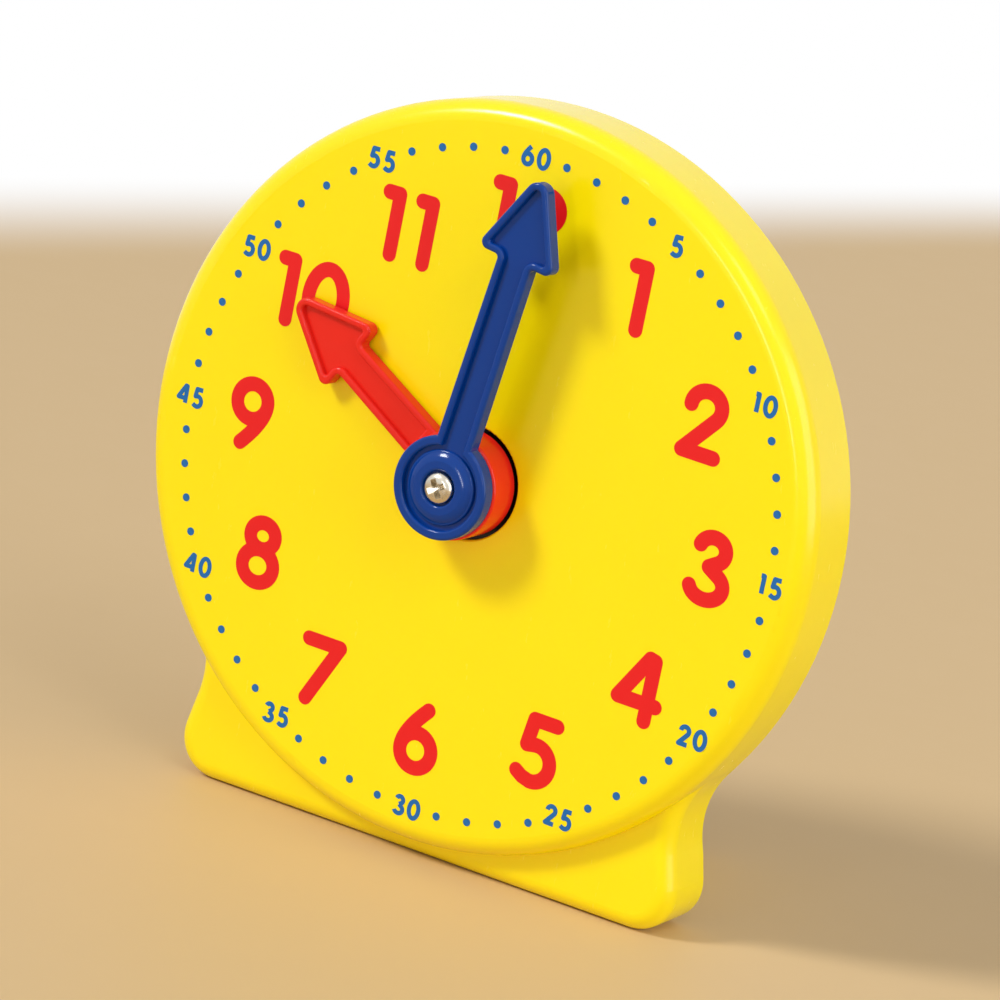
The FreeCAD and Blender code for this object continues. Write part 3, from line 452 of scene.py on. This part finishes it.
# ---- Geometry Nodes: what repeats -------------------------------------------------
class Growth(Graph):
    """A Geometry Nodes tree with named inputs."""

    def __init__(self, name, sockets):
        super().__init__(bpy.data.node_groups.new(name, "GeometryNodeTree"))
        interface = self.tree.interface
        self.identifiers = {
            label: interface.new_socket(label, in_out="INPUT", socket_type=kind).identifier
            for label, kind in sockets.items()}
        interface.new_socket("Geometry", in_out="OUTPUT", socket_type="NodeSocketGeometry")
        self.given = self.node("NodeGroupInput")

    def close(self, instances, material):
        """Ends the tree with real geometry that has its material, as the export needs."""
        real = self.node("GeometryNodeRealizeInstances", Geometry=instances)["Geometry"]
        dressed = self.node("GeometryNodeSetMaterial", Geometry=real, Material=material)["Geometry"]
        self.node("NodeGroupOutput", Geometry=dressed)

    def grow(self, name, values, points=()):
        """Runs the tree on a mesh of bare points and returns the plain mesh that comes out."""
        bare = bpy.data.meshes.new(name + " seed")
        bare.from_pydata(points, [], [])
        seed = new_object(name + " seed", bare)
        modifier = seed.modifiers.new("grow", "NODES")
        modifier.node_group = self.tree
        for label, value in values.items():
            modifier[self.identifiers[label]] = value
        mesh = evaluated_mesh(seed)
        bpy.data.objects.remove(seed)
        mesh.name = name
        return mesh


DOT_SIDES = 32


def dot_ring(material):
    """Discs on a circle, with a gap at each numeral."""
    ring = Growth("Minute dots", {
        "Radius": "NodeSocketFloat", "Dot radius": "NodeSocketFloat", "Thickness": "NodeSocketFloat",
        "Count": "NodeSocketInt", "Gap every": "NodeSocketInt"})
    given = ring.given
    circle = ring.node("GeometryNodeMeshCircle", Vertices=given["Count"], Radius=given["Radius"])["Mesh"]
    index = ring.node("GeometryNodeInputIndex")["Index"]
    remainder = ring.node("FunctionNodeIntegerMath", {"operation": "MODULO"},
                          (index, given["Gap every"]))["Value"]
    between = ring.node("FunctionNodeCompare", {"data_type": "INT", "operation": "GREATER_THAN"},
                        (remainder, 0))["Result"]
    disc = ring.node("GeometryNodeMeshCylinder", {"fill_type": "NGON"}, Vertices=DOT_SIDES,
                     Radius=given["Dot radius"], Depth=given["Thickness"])["Mesh"]
    dots = ring.node("GeometryNodeInstanceOnPoints", Points=circle, Selection=between,
                     Instance=disc)["Instances"]
    upright = ring.node("GeometryNodeTransform", Geometry=dots,
                        Rotation=(math.radians(90.0), 0.0, 0.0))["Geometry"]
    ring.close(upright, material)
    return ring


def screw_set(material):
    """The same screw at every point."""
    screws = Growth("Screw set", {
        "Geometry": "NodeSocketGeometry", "Screw": "NodeSocketObject", "Turn": "NodeSocketFloat"})
    given = screws.given
    screw = screws.node("GeometryNodeObjectInfo", Object=given["Screw"])["Geometry"]
    turn = screws.node("ShaderNodeCombineXYZ", Z=given["Turn"])["Vector"]
    placed = screws.node("GeometryNodeInstanceOnPoints", Points=given["Geometry"], Instance=screw,
                         Rotation=turn)["Instances"]
    screws.close(placed, material)
    return screws


# ---- numerals: pen strokes as outlines, joined into one flat shape ----------------
# Degrees of arc to each straight piece, and the turn in degrees that counts as a corner.
ARC_STEP = 9.0
SHARP_TURN = 30.0
# Straight pieces in a curve, and in the half circle at a stroke's end.
CURVE_STEPS = 10
CAP_STEPS = 12
# Keeps a mitre from growing past twice the pen's half width.
LEAST_MITRE = 0.5
# Which faces the union gives, and how near in millimetres two of its corners are one.
INSIDE_THE_OUTLINES = 1
SAME_POINT = 1e-5


def bow(x, z, wide, high, start, end):
    """Points of an elliptical arc about (x, z), by its angles."""
    count = max(2, math.ceil(abs(end - start) / ARC_STEP))
    angles = [math.radians(start + (end - start) * index / count) for index in range(count + 1)]
    return [(x + wide * math.cos(angle), z + high * math.sin(angle)) for angle in angles]


def loop(x, z, wide, high):
    """A closed ring, whose last point is its first."""
    points = bow(x, z, wide, high, 0.0, 360.0)
    return points[:-1] + points[:1]


def curve(start, pull, end):
    """Points of a quadratic curve."""
    points = []
    for index in range(CURVE_STEPS + 1):
        t = index / CURVE_STEPS
        points.append(tuple((1 - t) ** 2 * a + 2 * t * (1 - t) * b + t ** 2 * c
                            for a, b, c in zip(start, pull, end)))
    return points


def half_turned(strokes):
    return [[(-x, -z) for x, z in stroke] for stroke in strokes]


# Each digit is a list of pen strokes in millimetres from its middle, 13 mm high with the
# pen's own width added.
SIX = [loop(-0.05, -2.25, 3.05, 3.05), curve((1.05, 5.2), (-3.1, 0.6), (-3.1, -2.25))]
DIGITS = {
    "0": [loop(0.0, 0.0, 3.4, 5.25)],
    "1": [[(-1.4, 5.0), (0.65, 5.0), (0.65, -5.25)]],
    "2": [bow(0.0, 2.45, 2.8, 2.67, 180.0, -40.0) + [(-2.95, -5.2), (2.95, -5.3)]],
    "3": [bow(0.05, 3.0, 2.42, 2.2, 165.0, -60.0) + [(-0.05, 0.3)],
          [(-0.05, 0.25)] + bow(0.05, -2.8, 3.07, 2.4, 55.0, -162.0)],
    "4": [[(3.45, -2.5), (-3.6, -2.5), (1.0, 5.1), (1.95, 4.9), (1.95, -5.37)]],
    "5": [[(2.87, 5.17), (-1.45, 5.17), (-2.1, 0.65)] + bow(-0.2, -2.2, 3.05, 3.15, 100.0, -95.0)
          + [(-1.9, -4.95), (-3.12, -4.2)]],
    "6": SIX,
    "7": [[(-3.15, 5.12), (3.2, 5.12), (-1.85, -5.2)]],
    "8": [loop(0.05, 2.9, 2.5, 2.3), loop(0.05, -2.4, 3.1, 2.9)],
    "9": half_turned(SIX),
}

# The hour numerals' digits, with the middle of each in millimetres from the print's centre.
HOUR_DIGITS = (
    ("1", 23.3, 39.1), ("2", 39.3, 22.6), ("3", 45.6, -0.3), ("4", 37.9, -23.0),
    ("5", 21.95, -39.4), ("6", -0.4, -44.3), ("7", -21.5, -39.1), ("8", -37.4, -22.5),
    ("9", -44.3, 0.2), ("1", -41.7, 23.2), ("0", -33.95, 23.2), ("1", -24.22, 39.2),
    ("1", -17.75, 39.2), ("1", -4.18, 46.0), ("2", 3.55, 46.0))

# In the minute numerals: the millimetres from digit to digit, the same where one of them is a
# narrow 1, and how much narrower than in the hour numerals a digit is.
DIGIT_PITCH = 2.95
DIGIT_PITCH_WITH_ONE = 2.5
MINUTE_NARROWING = 0.93


def split_at_corners(path):
    """A stroke's smooth stretches, as (points, whether it starts at a corner, and ends at one)."""
    stretches = []
    current = [path[0]]
    from_corner = False
    for index in range(1, len(path)):
        current.append(path[index])
        if index == len(path) - 1:
            break
        before = path[index] - path[index - 1]
        after = path[index + 1] - path[index]
        if math.degrees(before.angle(after)) > SHARP_TURN:
            stretches.append((current, from_corner, True))
            current = [path[index]]
            from_corner = True
    return stretches + [(current, from_corner, False)]


def sides_of(points, pen, closed=False):
    """The lines at the pen's half width to the left and to the right of a stroke, and at each of
    its points the direction to the left, as long as the mitre needs."""
    directions = [(b - a).normalized() for a, b in zip(points, points[1:])]
    last = len(directions) - 1
    normals = []
    for index in range(len(points)):
        if closed:
            before = directions[index - 1]
            after = directions[index % len(directions)]
        else:
            before = directions[max(index - 1, 0)]
            after = directions[min(index, last)]
        middle = (before + after).normalized()
        stretch = 1.0 / max(middle.dot(after), LEAST_MITRE)
        normals.append(Vector((-middle.y, middle.x)) * stretch)
    left = [point + normal * pen for point, normal in zip(points, normals)]
    right = [point - normal * pen for point, normal in zip(points, normals)]
    return left, right, normals


def cap(point, start, radius):
    """Points of a half circle about a stroke's end, clockwise from a direction."""
    angle = math.atan2(start.y, start.x)
    return [point + radius * Vector((math.cos(angle - math.pi * index / CAP_STEPS),
                                     math.sin(angle - math.pi * index / CAP_STEPS)))
            for index in range(1, CAP_STEPS)]


def stroke_outline(points, pen, round_start, round_end):
    """The outline of one smooth stretch of a pen stroke, anticlockwise."""
    left, right, normals = sides_of(points, pen)
    outline = left
    if round_end:
        outline = outline + cap(points[-1], normals[-1], pen)
    outline = outline + right[::-1]
    if round_start:
        outline = outline + cap(points[0], -normals[0], pen)
    return outline[::-1]


def ring_outlines(points, pen):
    """A closed stroke as two outlines that meet end to end."""
    left, right, _ = sides_of(points, pen, closed=True)
    half = len(points) // 2
    return [(left[part] + right[part][::-1])[::-1] for part in (slice(0, half + 1), slice(half, None))]


def digit_outlines(digit, pen, at, scale=(1.0, 1.0), round_ends=True):
    """The outlines of a digit's strokes, in millimetres."""
    outlines = []
    for stroke in DIGITS[digit]:
        path = [Vector((x * scale[0] + at[0], z * scale[1] + at[1])) for x, z in stroke]
        if stroke[0] == stroke[-1]:
            outlines += ring_outlines(path, pen)
            continue
        for points, from_corner, to_corner in split_at_corners(path):
            outlines.append(stroke_outline(points, pen, from_corner or round_ends,
                                           to_corner or round_ends))
    return outlines


def joined_faces(outlines):
    """The union of the outlines as flat triangles: the corners, and three of them for each."""
    points = []
    rings = []
    for outline in outlines:
        rings.append(list(range(len(points), len(points) + len(outline))))
        points += outline
    corners, _, faces, _, _, origins = delaunay_2d_cdt(points, [], rings, INSIDE_THE_OUTLINES,
                                                       SAME_POINT)
    return corners, [face for face, origin in zip(faces, origins) if origin]


def ink_mesh(name, shapes, front, back):
    """A thin slab for each shape, in the print's own plane: X right, Z up, in metres."""
    form = bmesh.new()
    for outlines in shapes:
        corners, faces = joined_faces(outlines)
        top = [form.verts.new((c.x * MM, front, c.y * MM)) for c in corners]
        bottom = [form.verts.new((c.x * MM, back, c.y * MM)) for c in corners]
        for face in faces:
            form.faces.new([top[i] for i in face])
            form.faces.new([bottom[i] for i in reversed(face)])
        edges = dict.fromkeys(edge for face in faces for edge in zip(face, face[1:] + face[:1]))
        for a, b in edges:
            if (b, a) not in edges:
                form.faces.new((top[a], bottom[a], bottom[b], top[b]))
    loose = [vert for vert in form.verts if not vert.link_faces]
    bmesh.ops.delete(form, geom=loose, context="VERTS")
    return mesh_of(name, form)


def print_place():
    """From the print's own plane to its place on the dial."""
    settings = bpy.context.scene.clock_print
    centre = AXIS + Vector((settings.shift_x, 0.0, settings.shift_z))
    return Matrix.Translation(centre) @ Matrix.Rotation(settings.turn, 4, "Y")


# ---- screws: a lathed pan head with a tapered cross recess ------------------------
SCREW_SIDES = 64
# For each node of screws: the body that carries it, the shank's radius and length, and whether
# the heads look backwards.
SCREWS = {
    "hand_screw": ("minute", 1.3 * MM, 10.0 * MM, False),
    "cover_screws": ("housing", 1.25 * MM, 8.0 * MM, True),
    "bridge_screws": ("housing", 0.9 * MM, 6.0 * MM, True),
}
# The head's outline from its middle to its underside, as shares of its radius and height.
HEAD_PROFILE = ((0.0, 1.0), (0.2, 0.995), (0.4, 0.975), (0.58, 0.93), (0.72, 0.86), (0.84, 0.74),
                (0.93, 0.58), (0.98, 0.4), (1.0, 0.22), (1.0, 0.06), (0.97, 0.0))
# The recess's cross at the face and at its bottom, as shares of the head's radius: how far the
# wings reach and half their width; and the bottom's and the point's depths, as shares of the height.
RECESS_FACE = (0.72, 0.22)
RECESS_BOTTOM = (0.30, 0.09)
RECESS_DEPTHS = (0.74, 0.88)
# How far the cross is turned in degrees, and how far its cutter stands above the head, as a share
# of the height.
RECESS_TURN = 30.0
CUTTER_ABOVE = 0.1
# How much smaller the head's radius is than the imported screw's, which stays outside it.
HEAD_MARGIN = 0.02 * MM
# The screw's point: its length and its end's radius, as shares of the shank's radius.
POINT_LENGTH = 1.5
POINT_RADIUS = 0.3
# The angle in degrees from which an edge is sharp.
EDGE_ANGLE = 30.0
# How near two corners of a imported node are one, and the decimals by which its parts are put in order.
SAME_CORNER = 0.001 * MM
PLACE_DECIMALS = 5


def lathed(form, profile):
    """Adds a closed body of revolution about Y.  The profile's first and last radius are 0."""
    rings = []
    for radius, y in profile:
        if radius == 0.0:
            rings.append([form.verts.new((0.0, y, 0.0))])
            continue
        rings.append([form.verts.new((radius * math.sin(math.tau * i / SCREW_SIDES), y,
                                      radius * math.cos(math.tau * i / SCREW_SIDES)))
                      for i in range(SCREW_SIDES)])
    for one, two in zip(rings, rings[1:]):
        for i in range(SCREW_SIDES):
            j = (i + 1) % SCREW_SIDES
            corners = [one[i % len(one)], one[j % len(one)], two[j % len(two)], two[i % len(two)]]
            form.faces.new(list(dict.fromkeys(corners)))


def cross_ring(form, reach, half, y):
    """Adds the twelve corners of a cross."""
    corners = []
    for quarter in range(4):
        turn = math.radians(90.0 * quarter + RECESS_TURN)
        for x, z in ((reach, -half), (reach, half), (half, half)):
            corners.append(form.verts.new((x * math.cos(turn) - z * math.sin(turn), y,
                                           x * math.sin(turn) + z * math.cos(turn))))
    return corners


def solid_object(name, form):
    """Makes an object of a closed bmesh, with its faces pointing outwards."""
    bmesh.ops.recalc_face_normals(form, faces=form.faces)
    return new_object(name, mesh_of(name, form))


def recess_cutter(name, head, rise):
    """What the driver's tip takes out of a head of this radius and height."""
    form = bmesh.new()
    mouth = cross_ring(form, RECESS_FACE[0] * head, RECESS_FACE[1] * head, -rise - CUTTER_ABOVE * rise)
    bottom = cross_ring(form, RECESS_BOTTOM[0] * head, RECESS_BOTTOM[1] * head,
                        -rise * (1.0 - RECESS_DEPTHS[0]))
    point = form.verts.new((0.0, -rise * (1.0 - RECESS_DEPTHS[1]), 0.0))
    form.faces.new(mouth)
    for i in range(len(mouth)):
        j = (i + 1) % len(mouth)
        form.faces.new((mouth[i], bottom[i], bottom[j], mouth[j]))
        form.faces.new((bottom[i], point, bottom[j]))
    return solid_object(name, form)


def screw_object(name, head, rise, shank, length):
    """One screw whose seat is at the origin and whose head looks along -Y, in metres."""
    form = bmesh.new()
    profile = [(radius * head, -height * rise) for radius, height in HEAD_PROFILE]
    profile += [(shank, 0.0), (shank, length - POINT_LENGTH * shank), (POINT_RADIUS * shank, length),
                (0.0, length)]
    lathed(form, profile)
    screw = solid_object(name, form)
    cutter = recess_cutter(name + " recess", head, rise)
    boolean = screw.modifiers.new("recess", "BOOLEAN")
    boolean.operation = "DIFFERENCE"
    boolean.solver = "EXACT"
    boolean.object = cutter
    screw.data = evaluated_mesh(screw)
    bpy.data.objects.remove(cutter)
    screw.data.shade_smooth()
    screw.data.set_sharp_from_angle(angle=math.radians(EDGE_ANGLE))
    return screw


def part_boxes(node):
    """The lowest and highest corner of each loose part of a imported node."""
    form = bmesh.new()
    form.from_mesh(node.data)
    bmesh.ops.remove_doubles(form, verts=form.verts, dist=SAME_CORNER)
    boxes = []
    left = set(form.verts)
    while left:
        seen = {left.pop()}
        edge = list(seen)
        while edge:
            for link in edge.pop().link_edges:
                for vert in link.verts:
                    if vert not in seen:
                        seen.add(vert)
                        edge.append(vert)
        left -= seen
        places = [vert.co for vert in seen]
        boxes.append([Vector([pick(place[axis] for place in places) for axis in range(3)])
                      for pick in (min, max)])
    form.free()
    return sorted(boxes, key=lambda box: tuple(round(value, PLACE_DECIMALS) for value in box[0]))


def seat_of(low, high, length, backwards):
    """Where the underside of a packed screw's head lies, from the screw's box."""
    y = low.y + length if backwards else high.y - length
    return (low.x + high.x) / 2.0, y, (low.z + high.z) / 2.0


# ---- operators --------------------------------------------------------------------
class CLOCK_OT_housing(Operator):
    """Gives the housing and its rear cover their yellow plastic"""
    bl_idname = "clock.housing"
    bl_label = "Housing"

    def execute(self, context):
        yellow = moulded_plastic("yellow_plastic", context.scene.clock_finish.yellow,
                                 roughness=0.2, scatter=0.12, clouding=0.35)
        dress(("front_housing", "rear_cover"), yellow)
        return {"FINISHED"}


class CLOCK_OT_hands(Operator):
    """Gives the two hands their red and blue plastic"""
    bl_idname = "clock.hands"
    bl_label = "Hands"

    def execute(self, context):
        colours = context.scene.clock_finish
        # The red hub is painted dark behind the dial's face: painted shade in the gap round it.
        red = moulded_plastic("red_plastic", colours.red, roughness=0.12, scatter=0.06, clouding=0.4,
                              shine=HAND_SHINE, painted_gap_shade_from=DIAL_Y)
        blue = moulded_plastic("blue_plastic", colours.blue, roughness=0.12, scatter=0.03, clouding=0.4,
                               shine=HAND_SHINE)
        dress(("hour_hand",), red)
        dress(("minute_hand",), blue)
        return {"FINISHED"}


class CLOCK_OT_screws(Operator):
    """Makes the nickel-plated screws, with rounded heads and cross recesses"""
    bl_idname = "clock.screws"
    bl_label = "Screws"

    def execute(self, context):
        nickel = plated_metal("nickel_plate", context.scene.clock_finish.nickel)
        screws = screw_set(nickel)
        for name, (body, shank, length, backwards) in SCREWS.items():
            boxes = part_boxes(frame["nodes"][name])
            low, high = boxes[0]
            head = min(high.x - low.x, high.z - low.z) / 2.0 - HEAD_MARGIN
            rise = high.y - low.y - length
            screw = screw_object(name + " pattern", head, rise, shank, length)
            seats = [seat_of(*box, length, backwards) for box in boxes]
            turn = math.pi if backwards else 0.0
            mesh = screws.grow(name, {"Screw": screw, "Turn": turn}, seats)
            bpy.data.objects.remove(screw)
            piece = finished(name + "_detailed", mesh, nickel, body)
            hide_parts(name)
        return {"FINISHED"}


class CLOCK_OT_gears(Operator):
    """Gives the gears, the shafts and the bridge their natural plastic and steel"""
    bl_idname = "clock.gears"
    bl_label = "Gears"

    def execute(self, context):
        colours = context.scene.clock_finish
        dress(("hour_wheel", "transfer_wheel", "transfer_pinion", "minute_pinion", "minute_arbor",
               "gear_bridge", "hour_thrust_washer", "minute_thrust_washer",
               "transfer_washer_front", "transfer_washer_rear"),
              natural_plastic("natural_plastic", colours.natural))
        dress(("transfer_pin", "friction_spring", "hour_wheel_clip"),
              ground_steel("ground_steel", colours.steel))
        return {"FINISHED"}


class CLOCK_OT_hour_numerals(Operator):
    """Prints the red hour numerals"""
    bl_idname = "clock.hour_numerals"
    bl_label = "Hour numerals"

    def execute(self, context):
        settings = context.scene.clock_print
        pen = settings.hour_pen / MM
        shapes = [digit_outlines(digit, pen, (x, z)) for digit, x, z in HOUR_DIGITS]
        mesh = ink_mesh("hour_numerals", shapes, -settings.ink, settings.sunk)
        mesh.transform(print_place())
        ink = printed_ink("red_ink", context.scene.clock_finish.ink_red)
        finished("hour_numerals", mesh, ink, "housing")
        return {"FINISHED"}


class CLOCK_OT_minute_numerals(Operator):
    """Prints the small blue minute numerals"""
    bl_idname = "clock.minute_numerals"
    bl_label = "Minute numerals"

    def execute(self, context):
        settings = context.scene.clock_print
        scale = (settings.minute_scale * MINUTE_NARROWING, settings.minute_scale)
        pen = settings.minute_pen / MM
        ring = settings.minute_ring / MM
        shapes = []
        for minutes in range(settings.dots_skipped, settings.dots + 1, settings.dots_skipped):
            angle = math.tau * minutes / settings.dots
            text = str(minutes)
            pitch = DIGIT_PITCH_WITH_ONE if "1" in text else DIGIT_PITCH
            left = -pitch * (len(text) - 1) / 2.0
            for place, digit in enumerate(text):
                at = (ring * math.sin(angle) + left + pitch * place, ring * math.cos(angle))
                shapes.append(digit_outlines(digit, pen, at, scale, round_ends=False))
        mesh = ink_mesh("minute_numerals", shapes, -settings.ink, settings.sunk)
        mesh.transform(print_place())
        finished("minute_numerals", mesh, blue_ink(context), "housing")
        return {"FINISHED"}


class CLOCK_OT_minute_dots(Operator):
    """Prints the blue minute dots"""
    bl_idname = "clock.minute_dots"
    bl_label = "Minute dots"

    def execute(self, context):
        settings = context.scene.clock_print
        ink = blue_ink(context)
        mesh = dot_ring(ink).grow("minute_dots", {
            "Radius": settings.minute_ring, "Dot radius": settings.dot_radius,
            "Thickness": settings.ink + settings.sunk, "Count": settings.dots,
            "Gap every": settings.dots_skipped})
        mesh.transform(Matrix.Translation((0.0, (settings.sunk - settings.ink) / 2.0, 0.0)))
        mesh.transform(print_place())
        finished("minute_dots", mesh, ink, "housing")
        return {"FINISHED"}


# ---- stage ------------------------------------------------------------------------
# The camera's sensor in millimetres, and how near and how far it sees in metres.
SENSOR_WIDTH = 36.0
CLIP_START = 0.05
CLIP_END = 50.0
# The lamps' places in metres from the middle of the dial; then a soft lamp's width and height in
# metres and its lean in degrees.
KEY_PLACE = (-1.9, -2.2, 2.4)
SOFT_LAMPS = {
    "side": ((1.6, -0.2, 0.5), (1.3, 1.3), 0.0),
    "window": ((0.45, -0.43, 0.66), (0.25, 0.25), 0.0),
    "glint": ((0.0, -1.17, 0.15), (0.03, 0.46), 31.0),
}


def camera_axes(azimuth, elevation, roll):
    """Right, up and back of a camera that looks at the dial from the right and above."""
    back = Vector((math.sin(azimuth) * math.cos(elevation), -math.cos(azimuth) * math.cos(elevation),
                   math.sin(elevation)))
    right = Vector((math.cos(azimuth), math.sin(azimuth), 0.0))
    up = back.cross(right)
    return right * math.cos(roll) + up * math.sin(roll), up * math.cos(roll) - right * math.sin(roll), back


def add_camera(settings):
    right, up, back = camera_axes(settings.azimuth, settings.elevation, settings.roll)
    data = bpy.data.cameras.new("camera")
    data.lens = settings.lens
    data.sensor_width = SENSOR_WIDTH
    data.clip_start = CLIP_START
    data.clip_end = CLIP_END
    camera = new_object("camera", data)
    axes = Matrix((right, up, back)).transposed()
    place = AXIS + Vector(settings.aim) + back * settings.distance
    camera.matrix_world = Matrix.Translation(place) @ axes.to_4x4()
    bpy.context.scene.camera = camera


def place_lamp(name, data, place, lean=0.0):
    """Adds a lamp that looks at the middle of the dial and leans over by some degrees."""
    lamp = new_object(name, data)
    lamp.location = AXIS + Vector(place)
    lamp.rotation_mode = "QUATERNION"
    aim = (-Vector(place)).to_track_quat("-Z", "Y")
    lamp.rotation_quaternion = aim @ Quaternion((0.0, 0.0, 1.0), math.radians(lean))


def add_key(strength, angle):
    """The main light comes from far off, so that the floor is lit evenly."""
    data = bpy.data.lights.new("key", "SUN")
    data.energy = strength
    data.angle = angle
    place_lamp("key", data, KEY_PLACE)


def add_soft_lamp(name, power):
    place, (width, height), lean = SOFT_LAMPS[name]
    data = bpy.data.lights.new(name, "AREA")
    data.energy = power
    data.shape = "RECTANGLE"
    data.size = width
    data.size_y = height
    place_lamp(name, data, place, lean)


def add_floor(settings):
    half = settings.floor_size
    corners = [(x, y, STAND_Z) for x, y in ((-half, -half), (half, -half), (half, half), (-half, half))]
    mesh = bpy.data.meshes.new("floor")
    mesh.from_pydata(corners, [], [(0, 1, 2, 3)])
    mesh.materials.append(plain_floor("floor", settings))
    floor = new_object("floor", mesh)


def add_world(settings):
    """Even light all round, which is white wherever it is seen."""
    world = bpy.data.worlds.new("world")
    world.use_nodes = True
    graph = Graph(world.node_tree)
    background = graph.tree.nodes["Background"]
    graph.put(background.inputs["Color"], WHITE)
    strength = settings.ambient + (1.0 - settings.ambient) * graph.seen_rays()
    graph.put(background.inputs["Strength"], strength)
    bpy.context.scene.world = world


class CLOCK_OT_stage(Operator):
    """Sets up the floor, the lamps, the world and the camera"""
    bl_idname = "clock.stage"
    bl_label = "Stage"

    def execute(self, context):
        settings = context.scene.clock_stage
        context.scene.view_settings.view_transform = "Standard"
        add_floor(settings)
        add_world(settings)
        add_key(settings.key, settings.key_angle)
        for name in SOFT_LAMPS:
            add_soft_lamp(name, getattr(settings, name))
        add_camera(settings)
        return {"FINISHED"}


STEPS = (CLOCK_OT_housing, CLOCK_OT_hands, CLOCK_OT_screws, CLOCK_OT_gears, CLOCK_OT_hour_numerals,
         CLOCK_OT_minute_numerals, CLOCK_OT_minute_dots, CLOCK_OT_stage)


class CLOCK_PT_panel(Panel):
    """Lists the clock's pieces and its settings"""
    bl_label = "Geared Teaching Clock"
    bl_idname = "CLOCK_PT_panel"
    bl_space_type = "VIEW_3D"
    bl_region_type = "UI"
    bl_category = "Clock"

    def draw(self, context):
        for step in STEPS:
            self.layout.operator(step.bl_idname)
        for group in (context.scene.clock_print, context.scene.clock_finish, context.scene.clock_stage):
            box = self.layout.box()
            for name in group.__annotations__:
                box.prop(group, name)


CLASSES = (DialPrintSettings, FinishSettings, StageSettings, *STEPS, CLOCK_PT_panel)


def register():
    for cls in CLASSES:
        bpy.utils.register_class(cls)
    bpy.types.Scene.clock_print = PointerProperty(type=DialPrintSettings)
    bpy.types.Scene.clock_finish = PointerProperty(type=FinishSettings)
    bpy.types.Scene.clock_stage = PointerProperty(type=StageSettings)


def unregister():
    del bpy.types.Scene.clock_print
    del bpy.types.Scene.clock_finish
    del bpy.types.Scene.clock_stage
    for cls in reversed(CLASSES):
        bpy.utils.unregister_class(cls)


def main():
    register()
    for step in STEPS:
        group, name = step.bl_idname.split(".")
        getattr(getattr(bpy.ops, group), name)()


if __name__ == "__main__":
    main()
